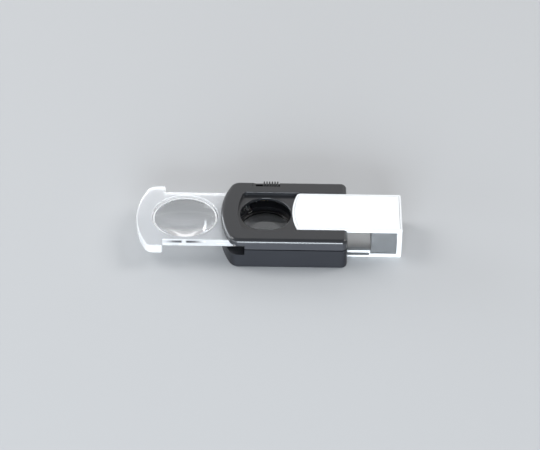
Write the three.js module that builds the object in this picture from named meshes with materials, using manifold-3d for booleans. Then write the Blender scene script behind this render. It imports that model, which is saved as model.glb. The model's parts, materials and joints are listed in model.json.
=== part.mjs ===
// Pocket loupe with two lenses and a lamp, lying on its back.
// A clear slide carries the large lens out of the rounded end, and a clear sleeve that guards the
// fixed lens slides out of the square end. All sizes are in millimetres, +Z is up, the lens axis of
// the case is the line x = 0, y = 0, and the group at the end shifts the whole to its resting place.

import * as THREE from 'three';
import { mergeVertices } from 'three/addons/utils/BufferGeometryUtils.js';
import Module from 'manifold-3d';

const wasm = await Module();
wasm.setup();

// Clearances
const RUNNING_GAP = 0.3;
const SEAT_GAP = 0.1;
const OVERRUN = 2;

// Case, from above
const CASE_END_REACH = 17.1;
const CASE_END_BOW = 37;
const CASE_END_CORNER = 4;
const CASE_TAIL_CORNER = 2.2;
const CASE_WALL = 1.2;
const CASE_SIDE = 2.6;

// Case, from the side: the layers stack up from the table
const TOP_EDGE_RADIUS = 1.3;
const BOTTOM_EDGE_RADIUS = 1;
const PARTING_CHAMFER = 0.15;
const COVER_FLOOR = 1.2;
const NOTCH_LENGTH = 9.3;

// Viewing hole and fixed lens
const HOLE_RADIUS = 9.65;
const HOLE_CHAMFER = 0.35;
const FIXED_LENS_MARGIN = 0.35;
const FIXED_LENS_EDGE = 0.6;
const FIXED_LENS_RIM = 1;
const FIXED_DOME_RISE = 2;
const FIXED_LENS_SINK = 0.15;
const LENS_LIP_WIDTH = 0.8;
const LENS_LIP_THICKNESS = 0.5;
const LENS_RING_WIDTH = 0.7;
const LENS_RING_THICKNESS = 0.5;
const LENS_RING_CHAMFER = 0.2;

// Lens slide
const SLIDE_THICKNESS = 3;
const SLIDE_REACH = 19.5;
const SLIDE_CORNER = 1;
const PRONG_WIDTH = 2.8;
const EAR_LENGTH = 2.1;
const EAR_WIDTH = 0.8;
const END_BAR_DROP = 0.7;
const END_BAR_GRIP = 1.4;
const END_BAR_EDGE = 0.45;
const END_BAR_TIP_CORNER = 0.6;
const SLIDE_EDGE = 0.2;

// Slide lens
const SLIDE_SIDE_RIM = 2.1;
const SLIDE_LENS_EDGE = 0.8;
const SLIDE_LENS_BULGE = 0.1;
const SLIDE_LENS_LIP = 0.6;
const SLIDE_LENS_MARGIN = 1.4;
const SLIDE_LENS_COLLAR = 0.55;

// Sleeve
const SLEEVE_MARGIN = 1.25;
const SLEEVE_TOP = 1.2;
const SLEEVE_BOTTOM = 1;
const SLEEVE_LAP = 0.55;
const SLEEVE_CLEAR = 0.5;
const SLEEVE_GRIP = 0.5;
const SLEEVE_BOW = 30.1;
const SLEEVE_CORNER = 1.5;
const SLEEVE_TAIL_CORNER = 0.9;
const SLEEVE_EDGE = 0.2;
const BLOCK_SIDE = 1.2;
const BLOCK_FLOOR = 1.8;
const BLOCK_END = 1.9;
const RAIL_WEB = 1;
const RAIL_OVERHANG = 1;
const RAIL_GROOVE = 1.3;
const RAIL_RIB = 1;
const GROOVE_STOP = 2.5;
const GROOVE_END = 0.5;
const INLAY_INSET = 0.8;
const INLAY_CORNER = 0.6;
const INLAY_THICKNESS = 0.6;

// Battery
const CELL_DIAMETER = 7.9;
const CELL_THICKNESS = 3.6;
const CELL_COUNT = 3;
const CELL_RIM = 0.35;
const CORE_WALL = 0.65;
const CORE_FLOOR = 0.7;
const CONTACT_THICKNESS = 0.3;
const CONTACT_SIZE = 5;
const SPRING_SPAN = 1.7;
const SPRING_WIDTH = 4;
const SPRING_HOOK = 1.2;
const LID_THICKNESS = 0.65;

// Lamp and wiring
const LAMP_RADIUS = 1.5;
const LAMP_RIM = 0.25;
const LAMP_RIM_THICKNESS = 0.5;
const LAMP_HEIGHT = 2.3;
const LAMP_ANGLE = THREE.MathUtils.degToRad(126);
const LEAD_RADIUS = 0.2;
const LEAD_PITCH = 1;
const WIRE_RADIUS = 0.35;
const WIRE_BEND = 1;
const WIRE_GROOVE_DEPTH = 0.9;
const WIRE_GROOVE_WIDTH = 1;
const WIRE_SPACING = 1.5;
const STRIP_THICKNESS = 0.25;
const STRIP_HEIGHT = 2.4;
const STRIP_BREAK = 0.6;
const POCKET_WIDTH = 3.4;

// Switch
const KNOB_LENGTH = 6.2;
const KNOB_BODY = 1;
const KNOB_SHOULDER = 0.25;
const KNOB_TRAVEL = 2.4;
const KNOB_RIBS = 6;
const SWITCH_OFFSET = 1.9;
const SWITCH_FLOOR = 0.5;
const SCOOP_LENGTH = 1.4;
const SCOOP_DEPTH = 1;
const SWITCH_WALL = 0.9;
const LEG_WIDTH = 2;
const LEG_THICKNESS = 0.6;
const BLADE_LENGTH = 3;
const BLADE_HEIGHT = 1.6;
const BLADE_THICKNESS = 0.15;

// Screws
const SCREW_RADIUS = 0.6;
const SCREW_HEAD_RADIUS = 1.1;
const SCREW_HEAD_HEIGHT = 0.7;
const SCREW_LENGTH = 11.5;
const SCREW_SINK = 0.25;
const SCREW_SLOT_WIDTH = 0.35;
const SCREW_SLOT_DEPTH = 0.35;
const SCREW_WALL = 0.3;
const SCREW_BOSS = 1.5;
const SCREW_TAIL_INSET = 2;

// Facet counts
const CIRCLE_STEPS = 60;
const SMALL_CIRCLE_STEPS = 20;
const CORNER_STEPS = 6;
const BOW_STEPS = 18;
const FILLET_STEPS = 5;
const DOME_STEPS = 5;
const WIRE_SIDES = 8;
const STEPS_PER_BEND = 1.4;

// Widths worked out from the viewing hole outward
const sleeveHalf = HOLE_RADIUS + SLEEVE_MARGIN;
const recessHalf = sleeveHalf + RUNNING_GAP;
const prongInner = recessHalf + RUNNING_GAP;
const slideHalf = prongInner + PRONG_WIDTH;
const earHalf = slideHalf + EAR_WIDTH;
const channelHalf = earHalf + RUNNING_GAP;
const caseHalf = channelHalf + CASE_SIDE;
const slideLensRadius = slideHalf - SLIDE_SIDE_RIM;
const fixedLensRadius = HOLE_RADIUS + FIXED_LENS_MARGIN;
const seatRadius = fixedLensRadius + RUNNING_GAP;

// Heights worked out from the table up
const railTop = SLEEVE_BOTTOM + RAIL_GROOVE + RAIL_RIB;
const deckBottom = railTop + RUNNING_GAP;
const lipTop = deckBottom + LENS_LIP_THICKNESS;
const lensBottom = lipTop + SEAT_GAP / 2;
const ringBottom = lensBottom + FIXED_LENS_EDGE + SEAT_GAP / 2;
const deckTop = lensBottom + FIXED_LENS_EDGE + FIXED_DOME_RISE + FIXED_LENS_SINK;
const slideBottom = deckTop + RUNNING_GAP;
const slideMiddle = slideBottom + SLIDE_THICKNESS / 2;
const slideTop = slideBottom + SLIDE_THICKNESS;
const channelTop = slideTop + RUNNING_GAP;
const coreBottom = BLOCK_FLOOR + RUNNING_GAP;
const cellZ = coreBottom + CORE_FLOOR + SEAT_GAP + CELL_DIAMETER / 2;
const batteryTop = cellZ + CELL_DIAMETER / 2 + 2 * SEAT_GAP + LID_THICKNESS + SEAT_GAP / 2;
const recessFloor = Math.max(channelTop + COVER_FLOOR, batteryTop);
const lidBottom = recessFloor - LID_THICKNESS - SEAT_GAP / 2;
const coreTop = lidBottom - SEAT_GAP / 2;
const sleeveTopBottom = recessFloor + RUNNING_GAP;
const caseTop = sleeveTopBottom + SLEEVE_TOP;
const endBarBottom = slideBottom - END_BAR_DROP;
const notchBottom = endBarBottom - RUNNING_GAP;

// Places along x, with the slide and the sleeve pushed home
const caseLeft = -CASE_END_REACH;
const notchRight = caseLeft + NOTCH_LENGTH;
const endBarLeft = caseLeft - END_BAR_GRIP;
const endBarRight = notchRight - RUNNING_GAP;
const blockLeft = SLIDE_REACH + RUNNING_GAP;
const deckRight = SLIDE_REACH;
const troughLeft = blockLeft + CORE_WALL;
const cellX = troughLeft + SEAT_GAP + CELL_DIAMETER / 2;
const troughRight = cellX + CELL_DIAMETER / 2 + SEAT_GAP;
const coreRight = troughRight + CORE_WALL;
const sleeveRight = coreRight + RUNNING_GAP + BLOCK_END;
const caseRight = sleeveRight - SLEEVE_GRIP;
const sleeveLeft = -(HOLE_RADIUS + SLEEVE_LAP);
const recessLeft = sleeveLeft - RUNNING_GAP;
const screwTailX = caseRight - SCREW_TAIL_INSET;
const screwHoleRadius = SCREW_RADIUS + SEAT_GAP;
const prongTip = screwTailX - SCREW_BOSS - RUNNING_GAP;
const slideTravel = CASE_END_REACH + slideLensRadius + SLIDE_LENS_MARGIN;
const sleeveTravel = 2 * HOLE_RADIUS + SLEEVE_LAP + SLEEVE_CLEAR;
const stopX = prongTip - EAR_LENGTH - slideTravel - RUNNING_GAP;
const screwNotchX = notchRight + screwHoleRadius + SCREW_WALL;

// Places across y
const pocketOuter = caseHalf - CASE_WALL;
const pocketInner = pocketOuter - POCKET_WIDTH;
const webOuter = sleeveHalf - RAIL_OVERHANG;
const webInner = webOuter - RAIL_WEB;
const grooveRadius = RAIL_GROOVE / 2;
const grooveRoundX = blockLeft - GROOVE_END - grooveRadius;
const screwTailY = (recessHalf + caseHalf) / 2;
const screwNotchY = slideHalf + RUNNING_GAP + screwHoleRadius + SCREW_WALL;
const stackLength = CELL_COUNT * CELL_THICKNESS + (CELL_COUNT - 1) * SEAT_GAP;
const troughLength = stackLength + CONTACT_THICKNESS + SPRING_SPAN + 4 * SEAT_GAP;
const troughHalf = troughLength / 2;
const coreHalf = troughHalf + CORE_WALL;
const cellBedRadius = CELL_DIAMETER / 2 + SEAT_GAP;
const plateOuter = troughHalf - SEAT_GAP;
const plateInner = plateOuter - CONTACT_THICKNESS;
const plateY = (plateOuter + plateInner) / 2;
const contactTabLeft = troughLeft + SEAT_GAP;
const springOuter = -troughHalf + SEAT_GAP;
const springY = springOuter + STRIP_THICKNESS / 2;

// Lamp and switch places
const lampDistance = seatRadius + LAMP_RADIUS;
const lampX = lampDistance * Math.cos(LAMP_ANGLE);
const lampY = lampDistance * Math.sin(LAMP_ANGLE);
const lampBottom = deckBottom + SEAT_GAP / 2;
const lampTop = lampBottom + LAMP_HEIGHT;
const leadZ = lampTop + LEAD_RADIUS + SEAT_GAP;
const wireZ = deckTop - WIRE_RADIUS - SEAT_GAP;
const knobLeft = SWITCH_OFFSET - KNOB_LENGTH / 2;
const knobRight = SWITCH_OFFSET + KNOB_LENGTH / 2;
const switchLeft = knobLeft - KNOB_TRAVEL - RUNNING_GAP;
const switchRight = knobRight + RUNNING_GAP;
const switchFloor = channelTop + SWITCH_FLOOR;
const knobBottom = switchFloor + RUNNING_GAP;
const legInner = earHalf + RUNNING_GAP + SEAT_GAP / 2;
const knobInner = legInner - KNOB_SHOULDER;
const knobOuter = caseHalf;
const switchWallInner = caseHalf - SWITCH_WALL;
const switchWallTop = caseTop - SCOOP_DEPTH;
const legOuter = legInner + LEG_THICKNESS;
const bladeInner = legOuter + SEAT_GAP / 2;
const stripOuter = pocketOuter - SEAT_GAP;
const stripInner = stripOuter - STRIP_THICKNESS;
const stripTop = deckTop - RUNNING_GAP;
const stripBottom = stripTop - STRIP_HEIGHT;
const bladeBottom = stripBottom + (STRIP_HEIGHT - BLADE_HEIGHT) / 2;
const stripBreakX = SWITCH_OFFSET - BLADE_LENGTH / 2 - STRIP_BREAK;
const pocketLeft = Math.max(screwNotchX + screwHoleRadius + CASE_WALL / 2, lampX + LAMP_RADIUS - SEAT_GAP);
const pocketRight = prongTip;
const wireTurnNear = deckRight - WIRE_SPACING;
const wireTurnFar = wireTurnNear - WIRE_SPACING;
const leadStartY = lampY + LAMP_RADIUS / 4;

// Solids and geometry

function toSolid(geometry) {
  const plain = geometry.index ? geometry.toNonIndexed() : geometry.clone();
  plain.deleteAttribute('normal');
  plain.deleteAttribute('uv');
  const merged = mergeVertices(plain);
  const corners = merged.index.array;
  const kept = [];
  for (let i = 0; i < corners.length; i += 3) {
    const [a, b, c] = [corners[i], corners[i + 1], corners[i + 2]];
    if (a !== b && b !== c && c !== a) {
      kept.push(a, b, c);
    }
  }
  const vertProperties = new Float32Array(merged.getAttribute('position').array);
  return new wasm.Manifold(new wasm.Mesh({ numProp: 3, vertProperties, triVerts: new Uint32Array(kept) }));
}

function toGeometry(solid) {
  const mesh = solid.getMesh();
  const geometry = new THREE.BufferGeometry();
  geometry.setAttribute('position', new THREE.BufferAttribute(mesh.vertProperties, 3));
  geometry.setIndex(new THREE.BufferAttribute(mesh.triVerts, 1));
  geometry.computeVertexNormals();
  return geometry;
}

function joined(...solids) {
  return solids.reduce((whole, next) => whole.add(next));
}

function cut(solid, ...tools) {
  return tools.reduce((whole, tool) => whole.subtract(tool), solid);
}

function box(x0, x1, y0, y1, z0, z1) {
  const geometry = new THREE.BoxGeometry(x1 - x0, y1 - y0, z1 - z0);
  geometry.translate((x0 + x1) / 2, (y0 + y1) / 2, (z0 + z1) / 2);
  return toSolid(geometry);
}

// The same box on both sides of the middle plane
function boxPair(x0, x1, y0, y1, z0, z1) {
  return joined(box(x0, x1, y0, y1, z0, z1), box(x0, x1, -y1, -y0, z0, z1));
}

function rod(x, y, radius, z0, z1, steps = CIRCLE_STEPS) {
  const geometry = new THREE.CylinderGeometry(radius, radius, z1 - z0, steps);
  geometry.rotateX(Math.PI / 2);
  geometry.translate(x, y, (z0 + z1) / 2);
  return toSolid(geometry);
}

// A solid of revolution about a vertical line; the profile is pairs of radius and height, from below
function turned(profile, x = 0, y = 0, steps = CIRCLE_STEPS) {
  const points = profile.map(([radius, height]) => new THREE.Vector2(radius, height));
  const geometry = new THREE.LatheGeometry(points, steps);
  geometry.rotateX(Math.PI / 2);
  geometry.translate(x, y, 0);
  return toSolid(geometry);
}

function prism(outline, z0, z1) {
  const shape = new THREE.Shape(outline);
  const geometry = new THREE.ExtrudeGeometry(shape, { depth: z1 - z0, bevelEnabled: false });
  geometry.translate(0, 0, z0);
  return toSolid(geometry);
}

// A stack of outlines with equal point counts, skinned between levels and closed at both ends
function skinned(outlineAt, levels) {
  const rings = levels.map(({ inset, z }) => outlineAt(inset).map((p) => new THREE.Vector3(p.x, p.y, z)));
  const count = rings[0].length;
  const positions = rings.flat().flatMap((p) => [p.x, p.y, p.z]);
  const cap = THREE.ShapeUtils.triangulateShape(outlineAt(levels[0].inset), []);
  const last = (rings.length - 1) * count;
  const indices = [];
  for (const [a, b, c] of cap) {
    indices.push(c, b, a);
    indices.push(last + a, last + b, last + c);
  }
  for (let ring = 0; ring < rings.length - 1; ring += 1) {
    for (let i = 0; i < count; i += 1) {
      const a = ring * count + i;
      const b = ring * count + ((i + 1) % count);
      indices.push(a, b, b + count);
      indices.push(a, b + count, a + count);
    }
  }
  const geometry = new THREE.BufferGeometry();
  geometry.setAttribute('position', new THREE.Float32BufferAttribute(positions, 3));
  geometry.setIndex(indices);
  return toSolid(geometry);
}

// A round wire through a few points
function wire(points, radius) {
  const path = new THREE.CurvePath();
  for (let i = 0; i < points.length - 1; i += 1) {
    const from = points[i];
    const to = points[i + 1];
    const before = i === 0 ? from : from.clone().lerp(to, Math.min(WIRE_BEND / from.distanceTo(to), 1 / 3));
    const after = i === points.length - 2 ? to : to.clone().lerp(from, Math.min(WIRE_BEND / from.distanceTo(to), 1 / 3));
    path.add(new THREE.LineCurve3(before, after));
    if (i < points.length - 2) {
      const beyond = points[i + 2];
      const next = to.clone().lerp(beyond, Math.min(WIRE_BEND / to.distanceTo(beyond), 1 / 3));
      path.add(new THREE.QuadraticBezierCurve3(after, to, next));
    }
  }
  const section = new THREE.Shape();
  section.absarc(0, 0, radius, 0, 2 * Math.PI);
  const steps = Math.ceil((path.getLength() / WIRE_BEND) * STEPS_PER_BEND);
  return toSolid(new THREE.ExtrudeGeometry(section, { steps, curveSegments: WIRE_SIDES / 2, extrudePath: path }));
}

// Outlines

function arc(x, y, radius, from, to, steps) {
  return Array.from({ length: steps + 1 }, (_, i) => {
    const angle = from + ((to - from) * i) / steps;
    return new THREE.Vector2(x + radius * Math.cos(angle), y + radius * Math.sin(angle));
  });
}

// A plate with a bowed left end and rounded corners, drawn counterclockwise; an inset keeps its centres
function bowedOutline({ left, right, half, bow, corner, tailCorner }, inset = 0) {
  const bowX = left + bow;
  const cornerY = half - corner;
  const cornerX = bowX - Math.sqrt((bow - corner) ** 2 - cornerY ** 2);
  const turn = Math.atan2(cornerY, cornerX - bowX);
  const tailX = right - tailCorner;
  const tailY = half - tailCorner;
  const quarter = Math.PI / 2;
  return [
    ...arc(tailX, -tailY, tailCorner - inset, -quarter, 0, CORNER_STEPS),
    ...arc(tailX, tailY, tailCorner - inset, 0, quarter, CORNER_STEPS),
    ...arc(cornerX, cornerY, corner - inset, quarter, turn, CORNER_STEPS),
    ...arc(bowX, 0, bow - inset, turn, 2 * Math.PI - turn, BOW_STEPS).slice(1, -1),
    ...arc(cornerX, -cornerY, corner - inset, 2 * Math.PI - turn, 3 * quarter, CORNER_STEPS),
  ];
}

const caseForm = {
  left: caseLeft,
  right: caseRight,
  half: caseHalf,
  bow: CASE_END_BOW,
  corner: CASE_END_CORNER,
  tailCorner: CASE_TAIL_CORNER,
};

const sleeveForm = {
  left: sleeveLeft,
  right: sleeveRight,
  half: sleeveHalf,
  bow: SLEEVE_BOW,
  corner: SLEEVE_CORNER,
  tailCorner: SLEEVE_TAIL_CORNER,
};

const inlayForm = {
  left: sleeveLeft + INLAY_INSET,
  right: sleeveRight - INLAY_INSET,
  half: sleeveHalf - INLAY_INSET,
  bow: SLEEVE_BOW - INLAY_INSET,
  corner: INLAY_CORNER,
  tailCorner: INLAY_CORNER,
};

// The recess that takes the sleeve's plates runs out of the square end
const recessForm = {
  left: recessLeft,
  right: caseRight + OVERRUN,
  half: recessHalf,
  bow: SLEEVE_BOW + RUNNING_GAP,
  corner: SLEEVE_CORNER + RUNNING_GAP,
  tailCorner: SLEEVE_TAIL_CORNER,
};

const endBarForm = {
  left: endBarLeft,
  right: endBarRight,
  half: caseHalf,
  bow: CASE_END_BOW,
  corner: CASE_END_CORNER,
  tailCorner: END_BAR_TIP_CORNER,
};

function roundedEdge(radius, z, side) {
  return Array.from({ length: FILLET_STEPS + 1 }, (_, i) => {
    const angle = (Math.PI / 2) * (i / FILLET_STEPS);
    return { inset: radius * (1 - Math.sin(angle)), z: z - side * radius * (1 - Math.cos(angle)) };
  });
}

// Cuts that both shells share

// The way that the slide runs in, narrow behind the notch and wider where its ears run
function slideChannel() {
  return joined(
    box(notchRight - OVERRUN, stopX + OVERRUN, -(slideHalf + RUNNING_GAP), slideHalf + RUNNING_GAP, deckTop, channelTop),
    box(stopX, prongTip + RUNNING_GAP, -channelHalf, channelHalf, deckTop, channelTop),
  );
}

// The notch at the rounded end that takes the slide's end bar
function endNotch() {
  return box(caseLeft - OVERRUN, notchRight, -caseHalf - OVERRUN, caseHalf + OVERRUN, notchBottom, channelTop);
}

// The open way for the sleeve's hollow end block, through the full height
function blockChannel() {
  return box(deckRight, caseRight + OVERRUN, -recessHalf, recessHalf, -OVERRUN, caseTop + OVERRUN);
}

// The slot that the knob's leg moves in, beside the slide channel
function legSlot() {
  const left = SWITCH_OFFSET - LEG_WIDTH / 2 - KNOB_TRAVEL - RUNNING_GAP;
  const right = SWITCH_OFFSET + LEG_WIDTH / 2 + RUNNING_GAP;
  return box(left, right, legInner - RUNNING_GAP, legOuter + RUNNING_GAP, stripBottom, switchFloor + OVERRUN);
}

function screwPlaces() {
  return [
    [screwNotchX, screwNotchY],
    [screwNotchX, -screwNotchY],
    [screwTailX, screwTailY],
    [screwTailX, -screwTailY],
  ];
}

function screwHoles() {
  return screwPlaces().map(([x, y]) => joined(
    rod(x, y, SCREW_HEAD_RADIUS + SEAT_GAP, -OVERRUN, SCREW_SINK + SCREW_HEAD_HEIGHT, SMALL_CIRCLE_STEPS),
    rod(x, y, screwHoleRadius, -OVERRUN, SCREW_SINK + SCREW_LENGTH + RUNNING_GAP, SMALL_CIRCLE_STEPS),
  ));
}

// Lower shell: rounded tray, deck with the lens seat, and the battery trough that reaches into the sleeve

function bottomCase() {
  const shell = skinned((inset) => bowedOutline(caseForm, inset), [
    ...roundedEdge(BOTTOM_EDGE_RADIUS, 0, -1),
    { inset: 0, z: slideMiddle - PARTING_CHAMFER },
    { inset: PARTING_CHAMFER, z: slideMiddle },
  ]);
  const sleeveWay = prism(bowedOutline(recessForm), -OVERRUN, deckBottom);
  const tray = cut(shell, endNotch(), slideChannel(), blockChannel(), cut(sleeveWay, railTongues()));
  return cut(
    joined(tray, batteryCore()),
    batteryTrough(),
    rod(0, 0, seatRadius, lipTop, deckTop + OVERRUN),
    rod(0, 0, fixedLensRadius - LENS_LIP_WIDTH, 0, deckTop),
    lampPocket(),
    boxPair(pocketLeft, pocketRight, pocketInner, pocketOuter, CASE_WALL, slideMiddle + OVERRUN),
    ...wireGrooves(),
    ...screwHoles(),
  );
}

// Tongues on both walls of the sleeve's way, which run in the grooves of its rails and stop it
function railTongues() {
  const left = sleeveLeft + GROOVE_STOP + sleeveTravel + RUNNING_GAP;
  const inner = webOuter + RUNNING_GAP;
  const bottom = SLEEVE_BOTTOM + RUNNING_GAP;
  const top = SLEEVE_BOTTOM + RAIL_GROOVE - RUNNING_GAP;
  return boxPair(left, grooveRoundX, inner, recessHalf + OVERRUN, bottom, top);
}

function lampPocket() {
  const rimBottom = lampTop - LAMP_RIM_THICKNESS - SEAT_GAP / 2;
  return joined(
    rod(lampX, lampY, LAMP_RADIUS + SEAT_GAP, deckBottom - RUNNING_GAP, deckTop + OVERRUN, SMALL_CIRCLE_STEPS),
    rod(lampX, lampY, LAMP_RADIUS + LAMP_RIM + SEAT_GAP, rimBottom, deckTop + OVERRUN, SMALL_CIRCLE_STEPS),
  );
}

// Grooves in the deck's upper face for the lamp's leads and the two battery wires
function wireGrooves() {
  const z0 = deckTop - WIRE_GROOVE_DEPTH;
  const z1 = deckTop + SEAT_GAP;
  const half = WIRE_GROOVE_WIDTH / 2;
  const leadLeft = lampX - LEAD_PITCH - half;
  return [
    box(leadLeft, pocketLeft + OVERRUN, lampY, pocketInner + LEAD_PITCH + half, z0, z1),
    box(wireTurnNear - half, wireTurnNear + half, plateY - half, pocketInner + half, z0, z1),
    box(wireTurnFar - half, wireTurnFar + half, springY - half, pocketInner + half, z0, z1),
    box(wireTurnNear - half, troughLeft + OVERRUN, plateY - half, plateY + half, z0, z1),
    box(wireTurnFar - half, troughLeft + OVERRUN, springY - half, springY + half, z0, z1),
  ];
}

function batteryCore() {
  return joined(
    box(blockLeft, coreRight, -coreHalf, coreHalf, coreBottom, coreTop),
    box(deckRight - OVERRUN, coreRight, -coreHalf, coreHalf, deckBottom, deckTop),
  );
}

// Round below, where the cells lie, and open above for the lid
function batteryTrough() {
  const bed = new THREE.CylinderGeometry(cellBedRadius, cellBedRadius, troughLength, CIRCLE_STEPS / 2);
  bed.translate(cellX, 0, cellZ);
  return joined(toSolid(bed), box(troughLeft, troughRight, -troughHalf, troughHalf, cellZ, coreTop + OVERRUN));
}

// Upper shell: recess for the sleeve, viewing hole, and the switch notch in the rear edge

function topCover() {
  const shell = skinned((inset) => bowedOutline(caseForm, inset), [
    { inset: PARTING_CHAMFER, z: slideMiddle },
    { inset: 0, z: slideMiddle + PARTING_CHAMFER },
    ...roundedEdge(TOP_EDGE_RADIUS, caseTop, 1).reverse(),
  ]);
  const hole = turned([
    [0, channelTop - OVERRUN],
    [HOLE_RADIUS, channelTop - OVERRUN],
    [HOLE_RADIUS, recessFloor - HOLE_CHAMFER],
    [HOLE_RADIUS + HOLE_CHAMFER, recessFloor],
    [HOLE_RADIUS + HOLE_CHAMFER, recessFloor + SEAT_GAP],
    [0, recessFloor + SEAT_GAP],
  ]);
  const pocketTop = caseTop - CASE_WALL;
  const hollowLeft = switchRight + CASE_WALL;
  const hollows = boxPair(hollowLeft, pocketRight, recessHalf + CASE_WALL, pocketOuter, slideMiddle - OVERRUN, pocketTop);
  return cut(
    shell,
    endNotch(),
    slideChannel(),
    blockChannel(),
    prism(bowedOutline(recessForm), recessFloor, caseTop + OVERRUN),
    hole,
    hollows,
    switchNotch(),
    legSlot(),
    ...screwHoles(),
  );
}

// The notch that the knob slides in, with a scooped ramp at its left for the finger and a low wall behind
function switchNotch() {
  const outline = [
    new THREE.Vector2(switchLeft - SCOOP_LENGTH, caseTop + SEAT_GAP),
    new THREE.Vector2(switchLeft - SCOOP_LENGTH, caseTop),
    new THREE.Vector2(switchLeft, caseTop - SCOOP_DEPTH),
    new THREE.Vector2(switchLeft, switchFloor),
    new THREE.Vector2(switchRight, switchFloor),
    new THREE.Vector2(switchRight, caseTop + SEAT_GAP),
  ];
  const depth = caseHalf - knobInner + RUNNING_GAP + OVERRUN;
  const geometry = new THREE.ExtrudeGeometry(new THREE.Shape(outline), { depth, bevelEnabled: false });
  geometry.rotateX(Math.PI / 2);
  geometry.translate(0, caseHalf + OVERRUN, 0);
  const far = caseHalf + 2 * OVERRUN;
  const wall = box(switchLeft - OVERRUN, switchRight + OVERRUN, switchWallInner, far, 0, switchWallTop);
  return cut(toSolid(geometry), wall);
}

// Lens slide, drawn pushed home: a plate with two prongs, and a bar across its end that hangs lower

function lensSlide() {
  const plate = skinned(slidePlateOutline, [
    { inset: SLIDE_EDGE, z: slideBottom },
    { inset: 0, z: slideBottom + SLIDE_EDGE },
    { inset: 0, z: slideTop - SLIDE_EDGE },
    { inset: SLIDE_EDGE, z: slideTop },
  ]);
  const endBar = skinned((inset) => bowedOutline(endBarForm, inset), [
    { inset: END_BAR_EDGE, z: endBarBottom },
    { inset: END_BAR_EDGE / 3, z: endBarBottom + END_BAR_EDGE / 3 },
    { inset: 0, z: endBarBottom + END_BAR_EDGE },
    { inset: 0, z: slideTop - END_BAR_EDGE },
    { inset: END_BAR_EDGE / 3, z: slideTop - END_BAR_EDGE / 3 },
    { inset: END_BAR_EDGE, z: slideTop },
  ]);
  const seat = slideLensRadius + RUNNING_GAP;
  const lip = slideLensRadius - SLIDE_LENS_LIP;
  const lipHeight = slideMiddle - SLIDE_LENS_EDGE / 2 - 2 * SEAT_GAP;
  const collar = seat + SLIDE_LENS_COLLAR;
  return cut(
    joined(plate, endBar),
    rod(0, 0, collar, endBarBottom - OVERRUN, slideBottom),
    rod(0, 0, seat, lipHeight, slideTop + OVERRUN),
    rod(0, 0, lip, endBarBottom - OVERRUN, lipHeight + SEAT_GAP),
  );
}

// The slide's plate from above: two prongs with outward stop ears, and rounded inner corners between them
function slidePlateOutline(inset = 0) {
  const quarter = Math.PI / 2;
  const bendX = SLIDE_REACH + SLIDE_CORNER;
  const bendY = prongInner - SLIDE_CORNER;
  const front = [
    new THREE.Vector2(endBarRight - OVERRUN, -slideHalf + inset),
    new THREE.Vector2(prongTip - EAR_LENGTH + inset, -slideHalf + inset),
    new THREE.Vector2(prongTip - EAR_LENGTH + inset, -earHalf + inset),
    new THREE.Vector2(prongTip - inset, -earHalf + inset),
    new THREE.Vector2(prongTip - inset, -prongInner - inset),
    ...arc(bendX, -bendY, SLIDE_CORNER + inset, 3 * quarter, 2 * quarter, CORNER_STEPS),
  ];
  const rear = front.map((p) => new THREE.Vector2(p.x, -p.y)).reverse();
  return [...front, ...rear];
}

// A lens surface as a circular arc of the profile, from the rim at the given height to the pole
function dome(radius, rimZ, rise) {
  const curve = (radius ** 2 + rise ** 2) / (2 * Math.abs(rise));
  const side = Math.sign(rise);
  return Array.from({ length: DOME_STEPS + 1 }, (_, i) => {
    const r = radius * (1 - i / DOME_STEPS);
    return [r, rimZ + rise - side * (curve - Math.sqrt(curve ** 2 - r ** 2))];
  });
}

function slideLens() {
  const rise = SLIDE_THICKNESS / 2 + SLIDE_LENS_BULGE - SLIDE_LENS_EDGE / 2;
  const below = dome(slideLensRadius, slideMiddle - SLIDE_LENS_EDGE / 2, -rise).reverse();
  const above = dome(slideLensRadius, slideMiddle + SLIDE_LENS_EDGE / 2, rise);
  return turned([...below, ...above]);
}

function fixedLens() {
  const rimTop = lensBottom + FIXED_LENS_EDGE;
  const domeRadius = fixedLensRadius - FIXED_LENS_RIM;
  return turned([
    [0, lensBottom],
    [fixedLensRadius, lensBottom],
    [fixedLensRadius, rimTop],
    ...dome(domeRadius, rimTop, FIXED_DOME_RISE),
  ]);
}

// The ring is chamfered inward, so that its rim lights up as a thin line
function lensRing() {
  const inner = fixedLensRadius - LENS_RING_WIDTH;
  const outer = seatRadius - SEAT_GAP;
  const top = ringBottom + LENS_RING_THICKNESS;
  return turned([
    [inner, ringBottom],
    [outer, ringBottom],
    [outer, top],
    [inner + LENS_RING_CHAMFER, top],
    [inner, top - LENS_RING_CHAMFER],
    [inner, ringBottom],
  ]);
}

// Sleeve, drawn pushed home: top plate, hollow end block, and bottom plate with two grooved rails

function sleeve() {
  const outline = (inset) => bowedOutline(sleeveForm, inset);
  const form = skinned(outline, [
    { inset: SLEEVE_EDGE, z: 0 },
    { inset: 0, z: SLEEVE_EDGE },
    { inset: 0, z: caseTop - SLEEVE_EDGE },
    { inset: SLEEVE_EDGE, z: caseTop },
  ]);
  const far = caseHalf + OVERRUN;
  const hollowHalf = sleeveHalf - BLOCK_SIDE;
  const hollowRight = sleeveRight - BLOCK_END;
  return cut(
    form,
    box(sleeveLeft - OVERRUN, blockLeft, -far, far, railTop, sleeveTopBottom),
    box(sleeveLeft - OVERRUN, blockLeft, -webInner, webInner, SLEEVE_BOTTOM, railTop + OVERRUN),
    box(blockLeft - OVERRUN, hollowRight, -hollowHalf, hollowHalf, BLOCK_FLOOR, sleeveTopBottom),
    railGrooves(far),
    prism(bowedOutline(inlayForm), caseTop - INLAY_THICKNESS - SEAT_GAP / 2, caseTop + OVERRUN),
  );
}

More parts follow.
